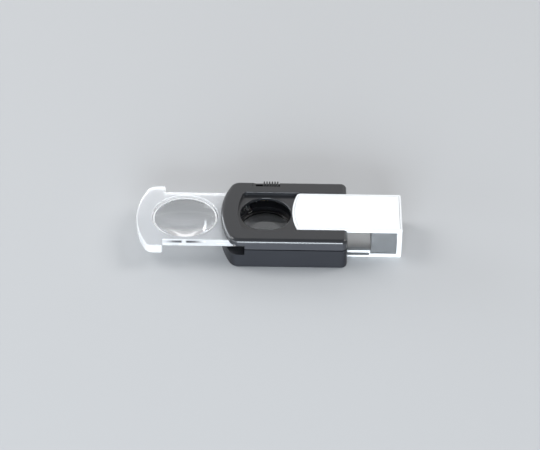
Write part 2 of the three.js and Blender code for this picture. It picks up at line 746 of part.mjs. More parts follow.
// Grooves in the outer faces of both rails, each with a rounded end just before the block
function railGrooves(far) {
  const roundEnd = (y0, y1) => {
    const geometry = new THREE.CylinderGeometry(grooveRadius, grooveRadius, y1 - y0, SMALL_CIRCLE_STEPS);
    geometry.translate(grooveRoundX, (y0 + y1) / 2, SLEEVE_BOTTOM + grooveRadius);
    return toSolid(geometry);
  };
  return joined(
    boxPair(sleeveLeft + GROOVE_STOP, grooveRoundX, webOuter, far, SLEEVE_BOTTOM, SLEEVE_BOTTOM + RAIL_GROOVE),
    roundEnd(webOuter, far),
    roundEnd(-far, -webOuter),
  );
}

function sleevePlate() {
  return skinned((inset) => bowedOutline(inlayForm, inset), [
    { inset: SEAT_GAP, z: caseTop - INLAY_THICKNESS },
    { inset: SEAT_GAP, z: caseTop - SEAT_GAP },
    { inset: 2 * SEAT_GAP, z: caseTop },
  ]);
}

// Switch knob: base, ribs across its length that reach out over the wall, and a leg down into the case

function switchKnob() {
  const pitch = KNOB_LENGTH / KNOB_RIBS;
  const ribWidth = pitch / 2;
  const baseTop = knobBottom + KNOB_BODY;
  const legHalf = LEG_WIDTH / 2;
  const ribs = Array.from({ length: KNOB_RIBS }, (_, i) => {
    const x = knobLeft + pitch * (i + 1 / 2);
    return knobRib(x, ribWidth, baseTop);
  });
  const overhang = box(
    knobLeft - OVERRUN,
    knobRight + OVERRUN,
    switchWallInner - RUNNING_GAP,
    knobOuter + OVERRUN,
    knobBottom - OVERRUN,
    switchWallTop + RUNNING_GAP,
  );
  return joined(
    box(knobLeft, knobRight, knobInner, switchWallInner - RUNNING_GAP, knobBottom, baseTop),
    cut(joined(...ribs), overhang),
    box(SWITCH_OFFSET - legHalf, SWITCH_OFFSET + legHalf, legInner, legOuter, bladeBottom, knobBottom + SEAT_GAP),
  );
}

// One rib, with its top tapered to a narrower crest
function knobRib(x, width, baseTop) {
  const half = width / 2;
  const outline = [
    new THREE.Vector2(x - half, knobBottom),
    new THREE.Vector2(x + half, knobBottom),
    new THREE.Vector2(x + half, baseTop),
    new THREE.Vector2(x + half / 2, caseTop),
    new THREE.Vector2(x - half / 2, caseTop),
    new THREE.Vector2(x - half, baseTop),
  ];
  const depth = knobOuter - knobInner - KNOB_SHOULDER;
  const geometry = new THREE.ExtrudeGeometry(new THREE.Shape(outline), { depth, bevelEnabled: false });
  geometry.rotateX(Math.PI / 2);
  geometry.translate(0, knobOuter, 0);
  return toSolid(geometry);
}

function switchBlade() {
  const left = SWITCH_OFFSET - BLADE_LENGTH / 2;
  return box(left, left + BLADE_LENGTH, bladeInner, bladeInner + BLADE_THICKNESS, bladeBottom, bladeBottom + BLADE_HEIGHT);
}

function contactStrip(left, right) {
  return box(left, right, stripInner, stripOuter, stripBottom, stripTop);
}

// Lamp: a low round body with a rim at the top and its dome facing down

function lamp() {
  const rimRadius = LAMP_RADIUS + LAMP_RIM;
  const rimBottom = lampTop - LAMP_RIM_THICKNESS;
  const domeRise = LAMP_RADIUS / 2;
  return turned([
    ...dome(LAMP_RADIUS, lampBottom + domeRise, -domeRise).reverse(),
    [LAMP_RADIUS, rimBottom],
    [rimRadius, rimBottom],
    [rimRadius, lampTop],
    [0, lampTop],
  ], lampX, lampY, SMALL_CIRCLE_STEPS);
}

// Leads and wires

const leadEndX = pocketLeft + RUNNING_GAP + WIRE_GROOVE_WIDTH;
const leadLaneY = pocketInner + WIRE_RADIUS + SEAT_GAP;

function lampLeadSwitch() {
  const x = lampX - LEAD_PITCH / 2;
  return wire([
    new THREE.Vector3(x, leadStartY, leadZ),
    new THREE.Vector3(x, leadLaneY + LEAD_PITCH / 4, leadZ),
    new THREE.Vector3(leadEndX, leadLaneY + LEAD_PITCH, leadZ),
    new THREE.Vector3(leadEndX, stripInner - RUNNING_GAP, leadZ),
  ], LEAD_RADIUS);
}

function lampLeadBattery() {
  const x = lampX + LEAD_PITCH / 2;
  return wire([
    new THREE.Vector3(x, leadStartY, leadZ),
    new THREE.Vector3(x, leadLaneY - LEAD_PITCH, leadZ),
    new THREE.Vector3(pocketLeft, leadLaneY, leadZ),
    new THREE.Vector3(leadEndX - LEAD_RADIUS, leadLaneY, leadZ),
  ], LEAD_RADIUS);
}

function wirePositive() {
  return wire([
    new THREE.Vector3(contactTabLeft - RUNNING_GAP, plateY, wireZ),
    new THREE.Vector3(wireTurnNear, plateY, wireZ),
    new THREE.Vector3(wireTurnNear, stripInner - RUNNING_GAP, wireZ),
  ], WIRE_RADIUS);
}

function wireNegative() {
  return wire([
    new THREE.Vector3(cellX - CONTACT_SIZE / 2 - RUNNING_GAP, springY, wireZ),
    new THREE.Vector3(wireTurnFar, springY, wireZ),
    new THREE.Vector3(wireTurnFar, leadLaneY, wireZ),
    new THREE.Vector3(leadEndX + RUNNING_GAP, leadLaneY, wireZ),
  ], WIRE_RADIUS);
}

// Battery: cells on their edges in a row, a flat contact behind them and a bent leaf in front

function buttonCell(index) {
  const front = plateInner - SEAT_GAP - (index + 1) * CELL_THICKNESS - index * SEAT_GAP;
  const radius = CELL_DIAMETER / 2;
  const points = [
    [0, 0],
    [radius - CELL_RIM, 0],
    [radius - CELL_RIM, CELL_RIM],
    [radius, CELL_RIM],
    [radius, CELL_THICKNESS - CELL_RIM / 2],
    [radius - CELL_RIM / 2, CELL_THICKNESS],
    [0, CELL_THICKNESS],
  ].map(([r, y]) => new THREE.Vector2(r, y));
  const geometry = new THREE.LatheGeometry(points, CIRCLE_STEPS / 2);
  geometry.translate(cellX, front, cellZ);
  return toSolid(geometry);
}

// A square plate with a tab that reaches to the wire
function batteryContact() {
  const half = CONTACT_SIZE / 2;
  const tabHalf = WIRE_GROOVE_WIDTH / 2;
  return joined(
    box(cellX - half, cellX + half, plateInner, plateOuter, cellZ - half, cellZ + half),
    box(contactTabLeft, cellX, plateInner, plateOuter, wireZ - tabHalf, wireZ + tabHalf),
  );
}

// A leaf bent over itself: flat along the wall, then a tongue that bows up to the last cell
function batterySpring() {
  const half = CONTACT_SIZE / 2;
  const foot = springOuter + STRIP_THICKNESS;
  const crest = springOuter + SPRING_SPAN - 2 * STRIP_THICKNESS;
  const turn = (foot + crest) / 2;
  const hookX = cellX + half - SPRING_HOOK;
  const path = new THREE.CatmullRomCurve3([
    new THREE.Vector3(cellX - half, foot, 0),
    new THREE.Vector3(hookX, foot, 0),
    new THREE.Vector3(cellX + half - STRIP_THICKNESS, (foot + turn) / 2, 0),
    new THREE.Vector3(hookX, turn, 0),
    new THREE.Vector3(cellX, crest, 0),
    new THREE.Vector3(cellX - SPRING_HOOK, crest - SPRING_SPAN / 4, 0),
  ]);
  const inner = path.getPoints(CIRCLE_STEPS / 3).map((p) => new THREE.Vector2(p.x, p.y));
  const outer = inner.map((p, i) => leafSide(inner, i, STRIP_THICKNESS));
  const pieces = inner.slice(1).map((p, i) => (
    prism([outer[i], outer[i + 1], p, inner[i]], cellZ - SPRING_WIDTH / 2, cellZ + SPRING_WIDTH / 2)
  ));
  return joined(...pieces);
}

// The point that lies one thickness to the right of a bent path
function leafSide(points, i, thickness) {
  const before = points[Math.max(i - 1, 0)];
  const after = points[Math.min(i + 1, points.length - 1)];
  const along = new THREE.Vector2(after.x - before.x, after.y - before.y).normalize();
  return new THREE.Vector2(points[i].x + along.y * thickness, points[i].y - along.x * thickness);
}

// The lid lies on the core's walls, and a tongue at each end drops in over the contacts
function batteryLid() {
  const left = troughLeft + RUNNING_GAP;
  const right = troughRight - RUNNING_GAP;
  const tongueBottom = cellZ + CONTACT_SIZE / 2 + RUNNING_GAP;
  return joined(
    box(blockLeft, coreRight, -coreHalf, coreHalf, lidBottom, lidBottom + LID_THICKNESS),
    boxPair(left, right, plateInner, plateOuter, tongueBottom, lidBottom + SEAT_GAP),
  );
}

function caseScrew([x, y]) {
  const headTop = SCREW_SINK + SCREW_HEAD_HEIGHT - SEAT_GAP;
  const tip = SCREW_SINK + SCREW_LENGTH;
  const form = turned([
    [0, SCREW_SINK],
    [SCREW_HEAD_RADIUS, SCREW_SINK],
    [SCREW_HEAD_RADIUS, headTop],
    [SCREW_RADIUS, headTop],
    [SCREW_RADIUS, tip - SCREW_RADIUS],
    [0, tip],
  ], x, y, SMALL_CIRCLE_STEPS);
  const half = SCREW_SLOT_WIDTH / 2;
  const reach = SCREW_HEAD_RADIUS / 2 + SCREW_SLOT_WIDTH;
  const slotTop = SCREW_SINK + SCREW_SLOT_DEPTH;
  return cut(
    form,
    box(x - reach, x + reach, y - half, y + half, -OVERRUN, slotTop),
    box(x - half, x + half, y - reach, y + reach, -OVERRUN, slotTop),
  );
}

// Materials

function finish(color, roughness, metalness = 0, opacity = 1) {
  return new THREE.MeshStandardMaterial({ color, roughness, metalness, opacity, transparent: opacity < 1 });
}

const blackShell = finish('#26272b', 0.45);
const blackInner = finish('#151517', 0.6);
const clearAcrylic = finish('#eef1f3', 0.08, 0, 0.35);
const lensAcrylic = finish('#e6eaee', 0.03, 0, 0.3);
const whitePlate = finish('#fbfbfb', 0.35);
const steel = finish('#b9bcc0', 0.35, 1);
const brass = finish('#c9a75a', 0.35, 1);
const lampResin = finish('#f4f4ee', 0.15);
const redWire = finish('#b02420', 0.5);
const blackWire = finish('#1c1c1e', 0.5);

// Assembly

function place(name, solid, material, parent) {
  const mesh = new THREE.Mesh(toGeometry(solid), material);
  mesh.name = name;
  parent.add(mesh);
}

const loupe = new THREE.Group();
const caseGroup = new THREE.Group();
const slideGroup = new THREE.Group();
const sleeveGroup = new THREE.Group();
const switchGroup = new THREE.Group();
loupe.add(caseGroup, slideGroup, sleeveGroup, switchGroup);

place('bottom_case', bottomCase(), blackShell, caseGroup);
place('top_cover', topCover(), blackShell, caseGroup);
place('fixed_lens', fixedLens(), lensAcrylic, caseGroup);
place('lens_ring', lensRing(), blackInner, caseGroup);
place('lamp', lamp(), lampResin, caseGroup);
place('lamp_lead_switch', lampLeadSwitch(), steel, caseGroup);
place('lamp_lead_battery', lampLeadBattery(), steel, caseGroup);
place('wire_positive', wirePositive(), redWire, caseGroup);
place('wire_negative', wireNegative(), blackWire, caseGroup);
place('contact_strip_lamp', contactStrip(pocketLeft + RUNNING_GAP, stripBreakX), brass, caseGroup);
place('contact_strip_battery', contactStrip(stripBreakX + STRIP_BREAK, wireTurnNear + WIRE_SPACING / 2), brass, caseGroup);
place('battery_contact', batteryContact(), brass, caseGroup);
place('battery_spring', batterySpring(), brass, caseGroup);
place('battery_lid', batteryLid(), blackInner, caseGroup);
for (let i = 0; i < CELL_COUNT; i += 1) {
  place(`button_cell_${i + 1}`, buttonCell(i), steel, caseGroup);
}
screwPlaces().forEach((where, i) => place(`case_screw_${i + 1}`, caseScrew(where), steel, caseGroup));

place('lens_slide', lensSlide(), clearAcrylic, slideGroup);
place('slide_lens', slideLens(), lensAcrylic, slideGroup);

place('sleeve', sleeve(), clearAcrylic, sleeveGroup);
place('sleeve_plate', sleevePlate(), whitePlate, sleeveGroup);

place('switch_knob', switchKnob(), blackInner, switchGroup);
place('switch_blade', switchBlade(), brass, switchGroup);

// Both slides rest pulled out, and the whole is centred over the middle of its length
slideGroup.position.x = -slideTravel;
sleeveGroup.position.x = sleeveTravel;
loupe.position.x = -(endBarLeft - slideTravel + sleeveRight + sleeveTravel) / 2;

export default loupe;
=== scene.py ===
# %% [markdown]
# # A pocket loupe with a lamp, pulled out at both ends
#
# This lesson dresses a small pocket loupe. A black two-part case holds a fixed lens, a lamp and
# three button cells. A clear slide carries a larger lens out of the rounded end, and a clear sleeve
# with a white top slides out of the square end. The loupe lies on its back, so the face towards us
# is the one with the viewing hole and the small ribbed switch.
#
# The construction is fixed before this file starts: every piece has its real size and place there.
# Blender adds what that model leaves plain, which is fine edges, ground lens surfaces and finishes.
# So the first step is always the same: load the fixed model and keep its outer box.

# %% Load the fixed model
import json
import math

import bmesh
import bpy
from mathutils import Matrix, Vector


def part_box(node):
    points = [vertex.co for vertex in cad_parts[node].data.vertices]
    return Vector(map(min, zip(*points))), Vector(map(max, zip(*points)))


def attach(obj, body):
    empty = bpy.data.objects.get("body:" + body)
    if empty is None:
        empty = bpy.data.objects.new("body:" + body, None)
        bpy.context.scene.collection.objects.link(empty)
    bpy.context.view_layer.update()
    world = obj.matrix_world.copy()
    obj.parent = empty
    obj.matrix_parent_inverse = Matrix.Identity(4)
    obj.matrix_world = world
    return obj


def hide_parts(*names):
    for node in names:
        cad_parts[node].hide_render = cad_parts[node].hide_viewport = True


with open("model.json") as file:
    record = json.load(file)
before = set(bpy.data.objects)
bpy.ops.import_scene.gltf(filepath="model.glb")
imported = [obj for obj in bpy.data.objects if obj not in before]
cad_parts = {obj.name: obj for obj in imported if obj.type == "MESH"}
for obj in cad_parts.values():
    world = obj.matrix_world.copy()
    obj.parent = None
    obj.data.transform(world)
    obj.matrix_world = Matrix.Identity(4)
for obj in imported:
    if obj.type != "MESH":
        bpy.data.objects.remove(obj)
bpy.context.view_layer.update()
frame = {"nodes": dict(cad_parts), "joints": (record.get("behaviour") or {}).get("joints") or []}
nodes = frame["nodes"]

# %% [markdown]
# ## One unit and the sizes that follow from the model
#
# The finest edges of this loupe are a tenth of a millimetre, so this file thinks in millimetres and
# turns them to metres only where a mesh is made. The places of the pieces are read from the model's
# own boxes: if the case grows, everything below follows. Only what a box can't say, such as the
# radius of a corner, gets a value of its own here.

# %% Sizes
MM = 0.001


def box_mm(node):
    low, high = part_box(node)
    return low / MM, high / MM


cover_low, cover_high = box_mm("top_cover")
slide_low, slide_high = box_mm("lens_slide")
sleeve_low, sleeve_high = box_mm("sleeve")
plate_low, plate_high = box_mm("sleeve_plate")
eye_low, eye_high = box_mm("fixed_lens")
big_low, big_high = box_mm("slide_lens")
ring_low, ring_high = box_mm("lens_ring")
knob_low, knob_high = box_mm("switch_knob")
lamp_low, lamp_high = box_mm("lamp")
lid_low, lid_high = box_mm("battery_lid")
travel = {joint["child"]: abs(joint["range_m"][1]) / MM for joint in frame["joints"]}

EYE_X = (eye_low.x + eye_high.x) / 2
BIG_X = (big_low.x + big_high.x) / 2
# Pieces that run past each other keep GAP, pieces that sit keep SEAT, and tools reach out by PAST.
GAP = 0.3
SEAT = 0.1
PAST = 2.0
BAR_DROP = 0.7
CASE_BOW = 37.0
NOTCH_LENGTH = 9.3
SLIDE_HALF = 14.3
BLOCK_FLOOR = 1.8
BLOCK_END = 1.9
RAIL_TOP = 3.3
PARTING_Z = cover_low.z
CASE_TOP = cover_high.z
CHANNEL_TOP = slide_high.z + GAP
RECESS_FLOOR = 11.7
DECK_TOP = slide_low.z + BAR_DROP - GAP
HOLE_RADIUS = 9.65

eye_radius = (eye_high.x - eye_low.x) / 2
big_radius = (big_high.x - big_low.x) / 2
notch_x = cover_low.x + NOTCH_LENGTH
bar_right = notch_x - GAP - travel["slide"]
block_x = lid_low.x + travel["guard"]
hollow_end = sleeve_high.x - BLOCK_END
under_top = RECESS_FLOOR + GAP
print("case from", round(cover_low.x, 2), "to", round(cover_high.x, 2), "mm, eye lens at", round(EYE_X, 3))
print("slide travels", round(travel["slide"], 2), "mm, sleeve", round(travel["guard"], 2), "mm")

# %% [markdown]
# ## The camera
#
# The photograph looks down on the loupe from the front at about 39 degrees, from far away with a long
# lens, because straight lines hardly converge in it. I set the camera a metre off with a 175 mm lens,
# and turn it by one degree about its own line of sight, because the loupe's long edges drop slightly
# to the right. A matrix built from three directions does this in one step.

# %% Camera
CAMERA_TARGET = Vector((0.43, 0.0, 6.2)) * MM
CAMERA_DISTANCE = 1.0
CAMERA_TURN = math.radians(-0.2)
CAMERA_RISE = math.radians(39.26)
CAMERA_ROLL = math.radians(0.94)
CAMERA_LENS = 174.6


def to_object(name, data):
    thing = bpy.data.objects.new(name, data)
    bpy.context.scene.collection.objects.link(thing)
    return thing


back = Vector((
    math.sin(CAMERA_TURN) * math.cos(CAMERA_RISE),
    -math.cos(CAMERA_TURN) * math.cos(CAMERA_RISE),
    math.sin(CAMERA_RISE),
))
level = Vector((math.cos(CAMERA_TURN), math.sin(CAMERA_TURN), 0.0))
right = level * math.cos(CAMERA_ROLL) + back.cross(level) * math.sin(CAMERA_ROLL)
above = back.cross(right)

camera_data = bpy.data.cameras.new("photo_camera")
camera_data.lens = CAMERA_LENS
camera_data.sensor_width = 36.0
camera_data.clip_start = 0.05
camera_data.clip_end = 20.0
camera = to_object("photo_camera", camera_data)
turned = Matrix((right, above, back)).transposed().to_4x4()
camera.matrix_world = Matrix.Translation(CAMERA_TARGET + back * CAMERA_DISTANCE) @ turned
bpy.context.scene.camera = camera
print("camera at", [round(value, 3) for value in camera.location])

# %% [markdown]
# ## Floor and light
#
# A small glossy thing is mostly drawn by what it mirrors, so the lamps are placed by that. The flat
# top mirrors one wide, dim panel behind the loupe, and a skirt under it carries the grey on over the
# bend of the edge. Two softboxes light the white parts, and no face towards us mirrors them. Three
# cool windows stand low in front, at the front left corner and at the left, and draw the thin lines
# along the rounded edges. The standard view transform keeps white plastic white.

# %% Floor, lamps and surroundings
FLOOR_HALF = 3.0
LENS_TURNS = 24
WHITE = (1, 1, 1)
# Each row is a lamp's name, place, width, height, radiance and colour.
LAMPS = (
    ("rear_panel", (0, 0.892, 0.803), 2.4, 0.36, 0.62, WHITE),
    ("rear_skirt", (0, 1.10, 0.47), 2.4, 0.56, 0.58, WHITE),
    ("left_softbox", (-1.0, 0.25, 1.0), 0.7, 0.7, 5.0, WHITE),
    ("right_softbox", (1.0, 0.25, 1.0), 0.7, 0.7, 5.0, WHITE),
    ("front_window", (-0.05, -1.4, 0.30), 0.9, 0.56, 20.5, (0.85, 0.93, 1.0)),
    ("corner_window", (-1.15, -0.85, 0.30), 1.6, 0.22, 8.0, (0.88, 0.94, 1.0)),
    ("left_window", (-1.21, 0.64, 0.29), 0.95, 0.4, 8.0, (0.9, 0.95, 1.0)),
)


def fill(socket, value):
    """Sets an input to a plain value, or links it to another node's output."""
    if isinstance(value, bpy.types.NodeSocket):
        socket.id_data.links.new(value, socket)
    else:
        socket.default_value = value


def put(node, **inputs):
    """Fills a node's inputs by their names."""
    for name, value in inputs.items():
        fill(node.inputs[name.replace("_", " ")], value)
    return node


def principled(name):
    mat = bpy.data.materials.new(name)
    mat.use_nodes = True
    return mat, mat.node_tree.nodes["Principled BSDF"]


def softbox(name, place, width, height, radiance, colour):
    """A rectangular lamp aimed at the loupe; its power follows from how bright it looks."""
    data = bpy.data.lights.new(name, "AREA")
    data.shape = "RECTANGLE"
    data.size = width
    data.size_y = height
    data.energy = radiance * math.pi * width * height
    data.color = colour
    lamp = to_object(name, data)
    lamp.location = place
    lamp.rotation_mode = "QUATERNION"
    lamp.rotation_quaternion = (-Vector(place)).to_track_quat("-Z", "Y")


scene = bpy.context.scene
scene.view_settings.view_transform = "Standard"
floor_material, floor_shader = principled("pale_table")
put(floor_shader, Base_Color=(0.50, 0.505, 0.51, 1), Roughness=0.42)
corners = [(x * FLOOR_HALF, y * FLOOR_HALF, 0) for x, y in ((-1, -1), (1, -1), (1, 1), (-1, 1))]
floor_mesh = bpy.data.meshes.new("table")
floor_mesh.from_pydata(corners, [], [(0, 1, 2, 3)])
floor_mesh.materials.append(floor_material)
floor = to_object("table", floor_mesh)

for row in LAMPS:
    softbox(*row)

world = bpy.data.worlds.new("studio")
world.use_nodes = True
put(world.node_tree.nodes["Background"], Color=(0.93, 0.95, 1.0, 1), Strength=0.25)
scene.world = world

# Light that is trapped between two lens faces takes many turns before it leaves.
scene.cycles.max_bounces = LENS_TURNS
scene.cycles.transmission_bounces = LENS_TURNS
scene.cycles.glossy_bounces = LENS_TURNS
print("stage: floor and", len(LAMPS), "lamps")

# %% [markdown]
# ## Tools for moulded shapes
#
# Every shell of the loupe is a flat outline pushed up through a few heights, and drawn in a little
# near the edges, as a mould is cut. A bevel on a box can't tell a 1.6 mm thumb edge from a 0.2 mm
# moulding edge, so one helper stacks outlines instead: each level has an inset and a height, and a
# quarter circle of levels makes a rounded edge.

# %% Stack outlines into a solid
EDGE_STEPS = 6
QUARTER = math.pi / 2


def from_bmesh(name, work):
    bmesh.ops.recalc_face_normals(work, faces=work.faces)
    mesh = bpy.data.meshes.new(name)
    work.to_mesh(mesh)
    work.free()
    return to_object(name, mesh)


def solid_of(name, outlines):
    """A closed solid whose skin runs through a row of outlines, each a list of points."""
    work = bmesh.new()
    rings = [[work.verts.new((x * MM, y * MM, z * MM)) for x, y, z in outline] for outline in outlines]
    for low, high in zip(rings, rings[1:]):
        for i in range(len(low)):
            j = (i + 1) % len(low)
            work.faces.new((low[i], low[j], high[j], high[i]))
    work.faces.new(list(reversed(rings[0])))
    work.faces.new(rings[-1])
    return from_bmesh(name, work)


def stacked(name, outline_at, levels):
    """A solid from outlines at rising heights; levels are pairs of inset and height."""
    return solid_of(name, [[(x, y, z) for x, y in outline_at(inset)] for inset, z in levels])


def extruded(name, profile, y0, y1):
    """A prism along y from a profile of x and z."""
    return solid_of(name, [[(x, y, z) for x, z in profile] for y in (y0, y1)])


def block(x0, x1, y0, y1, z0, z1):
    return solid_of("block", [[(x0, y0, z), (x1, y0, z), (x1, y1, z), (x0, y1, z)] for z in (z0, z1)])


def twin_blocks(x0, x1, inner, outer, z0, z1):
    """Two equal blocks, one behind the loupe's middle line and one in front of it."""
    return [block(x0, x1, y0, y1, z0, z1) for y0, y1 in ((inner, outer), (-outer, -inner))]


def quarter_turn(steps):
    return [QUARTER * i / steps for i in range(steps + 1)]


def round_up(radius, top, steps=EDGE_STEPS):
    """Levels that round a top edge over, from the side to the top face."""
    return [(radius * (1 - math.cos(a)), top - radius * (1 - math.sin(a))) for a in quarter_turn(steps)]


def round_down(radius, bottom, steps=EDGE_STEPS):
    """The same for a bottom edge, from the bottom face to the side."""
    return [(inset, 2 * bottom - z) for inset, z in reversed(round_up(radius, bottom, steps))]


def flare(radius, top, steps):
    """Levels for a cutting tool that leaves a rounded rim where it comes out of a top face."""
    return [(-inset, z) for inset, z in round_up(radius, top, steps)] + [(-radius, top + PAST)]


print("a rounded edge takes", len(round_up(1.0, 0.0)), "levels")

# %% [markdown]
# ## Outlines and turned shapes
#
# The case, its recess and the sleeve share one outline: a plate with one bowed end. The bow and its
# corners are true arcs, and the inset only shortens the radii, so all insets have equal point counts
# and the faces stay clean quads. Lenses, rings and the lamp are turned on a lathe instead: a profile
# of radius and height, swept about an upright axis.

# %% Outlines and a lathe
CORNER_STEPS = 10
BOW_STEPS = 40
ROUND_STEPS = 96
MERGE_BELOW = SEAT * MM / 50


def arc(x, y, radius, start, end, steps):
    angles = [start + (end - start) * i / steps for i in range(steps + 1)]
    return [(x + radius * math.cos(a), y + radius * math.sin(a)) for a in angles]


def bowed(left, right, half, bow, corner, tail):
    """Outline maker for a plate whose left end is an arc of radius bow."""
    bow_x = left + bow
    corner_y = half - corner
    corner_x = bow_x - math.sqrt((bow - corner) ** 2 - corner_y ** 2)
    turn = math.atan2(corner_y, corner_x - bow_x)
    last_turn = 4 * QUARTER - turn

    def outline(inset):
        points = arc(right - tail, -half + tail, tail - inset, -QUARTER, 0, CORNER_STEPS)
        points += arc(right - tail, half - tail, tail - inset, 0, QUARTER, CORNER_STEPS)
        points += arc(corner_x, corner_y, corner - inset, QUARTER, turn, CORNER_STEPS)
        points += arc(bow_x, 0, bow - inset, turn, last_turn, BOW_STEPS)[1:-1]
        points += arc(corner_x, -corner_y, corner - inset, last_turn, 3 * QUARTER, CORNER_STEPS)
        return points

    return outline


def filled(*points):
    """A profile that reaches the axis at both ends, so that it turns into a solid."""
    return [(0, points[0][1]), *points, (0, points[-1][1])]


def lathe(name, profile, x=0.0, y=0.0, steps=ROUND_STEPS):
    """A solid of revolution; the profile is pairs of radius and height, from the bottom up."""
    work = bmesh.new()
    rings = []
    for radius, z in profile:
        if radius == 0:
            rings.append([work.verts.new((x * MM, y * MM, z * MM))])
        else:
            circle = arc(x, y, radius, 0, 4 * QUARTER, steps)[:-1]
            rings.append([work.verts.new((px * MM, py * MM, z * MM)) for px, py in circle])
    for low, high in zip(rings, rings[1:]):
        for i in range(steps):
            j = (i + 1) % steps
            corners = [low[i % len(low)], low[j % len(low)], high[j % len(high)], high[i % len(high)]]
            work.faces.new(list(dict.fromkeys(corners)))
    if profile[0] == profile[-1]:
        bmesh.ops.remove_doubles(work, verts=work.verts, dist=MERGE_BELOW / 2)
    return from_bmesh(name, work)


print("turned pieces have", ROUND_STEPS, "steps, corners", CORNER_STEPS)

# %% [markdown]
# ## Cutting, joining and finishing a solid
#
# Pockets and slots are cut with boolean modifiers, the quickest way to a shape that a mould would
# leave. That leaves hard edges and long flat faces. So I dissolve the flat ones, break the hard edges
# with a narrow bevel, and weight the normals by face size, which keeps large faces flat while the
# small roundings beside them still catch a soft highlight.

# %% Cut, join and finish
SMOOTH_BELOW = math.radians(34)
FLAT_WITHIN = math.radians(0.5)
made = []


def applied(piece):
    """Turns a piece's modifiers into its mesh."""
    graph = bpy.context.evaluated_depsgraph_get()
    mesh = bpy.data.meshes.new_from_object(piece.evaluated_get(graph))
    old = piece.data
    piece.modifiers.clear()
    piece.data = mesh
    mesh.name = piece.name
    bpy.data.meshes.remove(old)
    return piece


def combine(piece, others, operation):
    for other in others:
        modifier = piece.modifiers.new("combine", "BOOLEAN")
        modifier.operation = operation
        modifier.object = other
        modifier.solver = "MANIFOLD"
    applied(piece)
    for other in others:
        bpy.data.objects.remove(other)
    return piece


def cut(piece, *tools):
    return combine(piece, tools, "DIFFERENCE")


def join(piece, *others):
    return combine(piece, others, "UNION")


def add_bevel(piece, width):
    modifier = piece.modifiers.new("edges", "BEVEL")
    modifier.limit_method = "ANGLE"
    modifier.angle_limit = SMOOTH_BELOW
    modifier.width = width * MM
    modifier.segments = 2
    return modifier


def break_edges(piece, width):
    work = bmesh.new()
    work.from_mesh(piece.data)
    bmesh.ops.remove_doubles(work, verts=work.verts, dist=MERGE_BELOW)
    bmesh.ops.dissolve_limit(work, angle_limit=FLAT_WITHIN, verts=work.verts, edges=work.edges)
    work.to_mesh(piece.data)
    work.free()
    add_bevel(piece, width).miter_outer = "MITER_ARC"
    return applied(piece)


def smooth(piece):
    piece.data.shade_smooth()
    piece.data.set_sharp_from_angle(angle=SMOOTH_BELOW)
    piece.modifiers.new("weighted", "WEIGHTED_NORMAL").keep_sharp = True
    applied(piece)


def give_finish(piece, mat):
    piece.data.materials.clear()
    piece.data.materials.append(mat)


def finish_piece(piece, name, mat, body, replaced=()):
    """Smooths and names a piece, gives it its finish and hands it to the body it moves with."""
    smooth(piece)
    piece.name = name
    piece.data.name = name
    give_finish(piece, mat)
    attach(piece, body)
    if replaced:
        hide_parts(*replaced)
    made.append(piece.name)
    print(name, "has", len(piece.data.polygons), "faces")


print("edges sharper than", round(math.degrees(SMOOTH_BELOW)), "degrees get a bevel")

# %% [markdown]
# ## Finishes: helpers for node patterns
#
# No surface on this loupe is one flat colour. Moulded plastic has a fine grain and a slow drift in
# gloss, acrylic has hairline scratches, and plated steel is brushed. All of that is noise at the
# right scale, mapped to a range and added up. The patterns read the piece's own coordinates, so the
# grain is as fine on the knob as on the case.

# %% Patterns
# The colour sockets of a mix node share their names with others, so they go by number.
MIX_FIRST = 6
MIX_SECOND = 7
MIX_RESULT = 2
HAIR_STRETCH = (0.03, 1.0, 1.0)
HAIR_FROM = 0.60
HAIR_FULL = 0.72


def add_node(tree, kind, **inputs):
    return put(tree.nodes.new(kind), **inputs)


def place_of(mat, stretch=(1, 1, 1)):
    """The piece's own coordinates, squeezed along some axes for brushed or drawn patterns."""
    where = add_node(mat.node_tree, "ShaderNodeTexCoord").outputs["Object"]
    return add_node(mat.node_tree, "ShaderNodeMapping", Vector=where, Scale=stretch).outputs["Vector"]


def noise(mat, size_mm, detail=2.0, stretch=(1, 1, 1)):
    texture = add_node(mat.node_tree, "ShaderNodeTexNoise", Scale=1 / (size_mm * MM), Detail=detail)
    return put(texture, Vector=place_of(mat, stretch)).outputs["Fac"]


def spread(pattern, low, high, start=0.3, end=0.7):
    """Maps a pattern between start and end to values from low to high."""
    limits = {"From Min": start, "From Max": end, "To Min": low, "To Max": high}
    return add_node(pattern.id_data, "ShaderNodeMapRange", Value=pattern, **limits).outputs["Result"]


def blend_colours(pattern, first, second):
    mix = add_node(pattern.id_data, "ShaderNodeMix")
    mix.data_type = "RGBA"
    for number, colour in ((MIX_FIRST, first), (MIX_SECOND, second)):
        fill(mix.inputs[number], (*colour, 1) if isinstance(colour, tuple) else colour)
    return put(mix, Factor=pattern).outputs[MIX_RESULT]


def maths(operation, total, *others):
    """Runs one operation over a row of patterns and numbers, from left to right."""
    pattern = next(value for value in (total, *others) if isinstance(value, bpy.types.NodeSocket))
    for other in others:
        node = add_node(pattern.id_data, "ShaderNodeMath")
        node.operation = operation
        fill(node.inputs[0], total)
        fill(node.inputs[1], other)
        total = node.outputs[0]
    return total


def scratched(mat, depth):
    """Sparse hairline scratches along the way the pieces slide, as high as depth."""
    fine = noise(mat, size_mm=0.16, stretch=HAIR_STRETCH)
    return maths("MULTIPLY", spread(fine, 0.0, 1.0, HAIR_FROM, HAIR_FULL), depth)


def relief(shader, height, depth_mm, strength=1.0):
    """Turns a pattern into small heights on the surface."""
    distance = depth_mm * MM
    bump = add_node(shader.id_data, "ShaderNodeBump", Strength=strength, Distance=distance, Height=height)
    put(shader, Normal=bump.outputs["Normal"])


print("patterns: noise, spread, blend_colours, maths, scratched and relief")

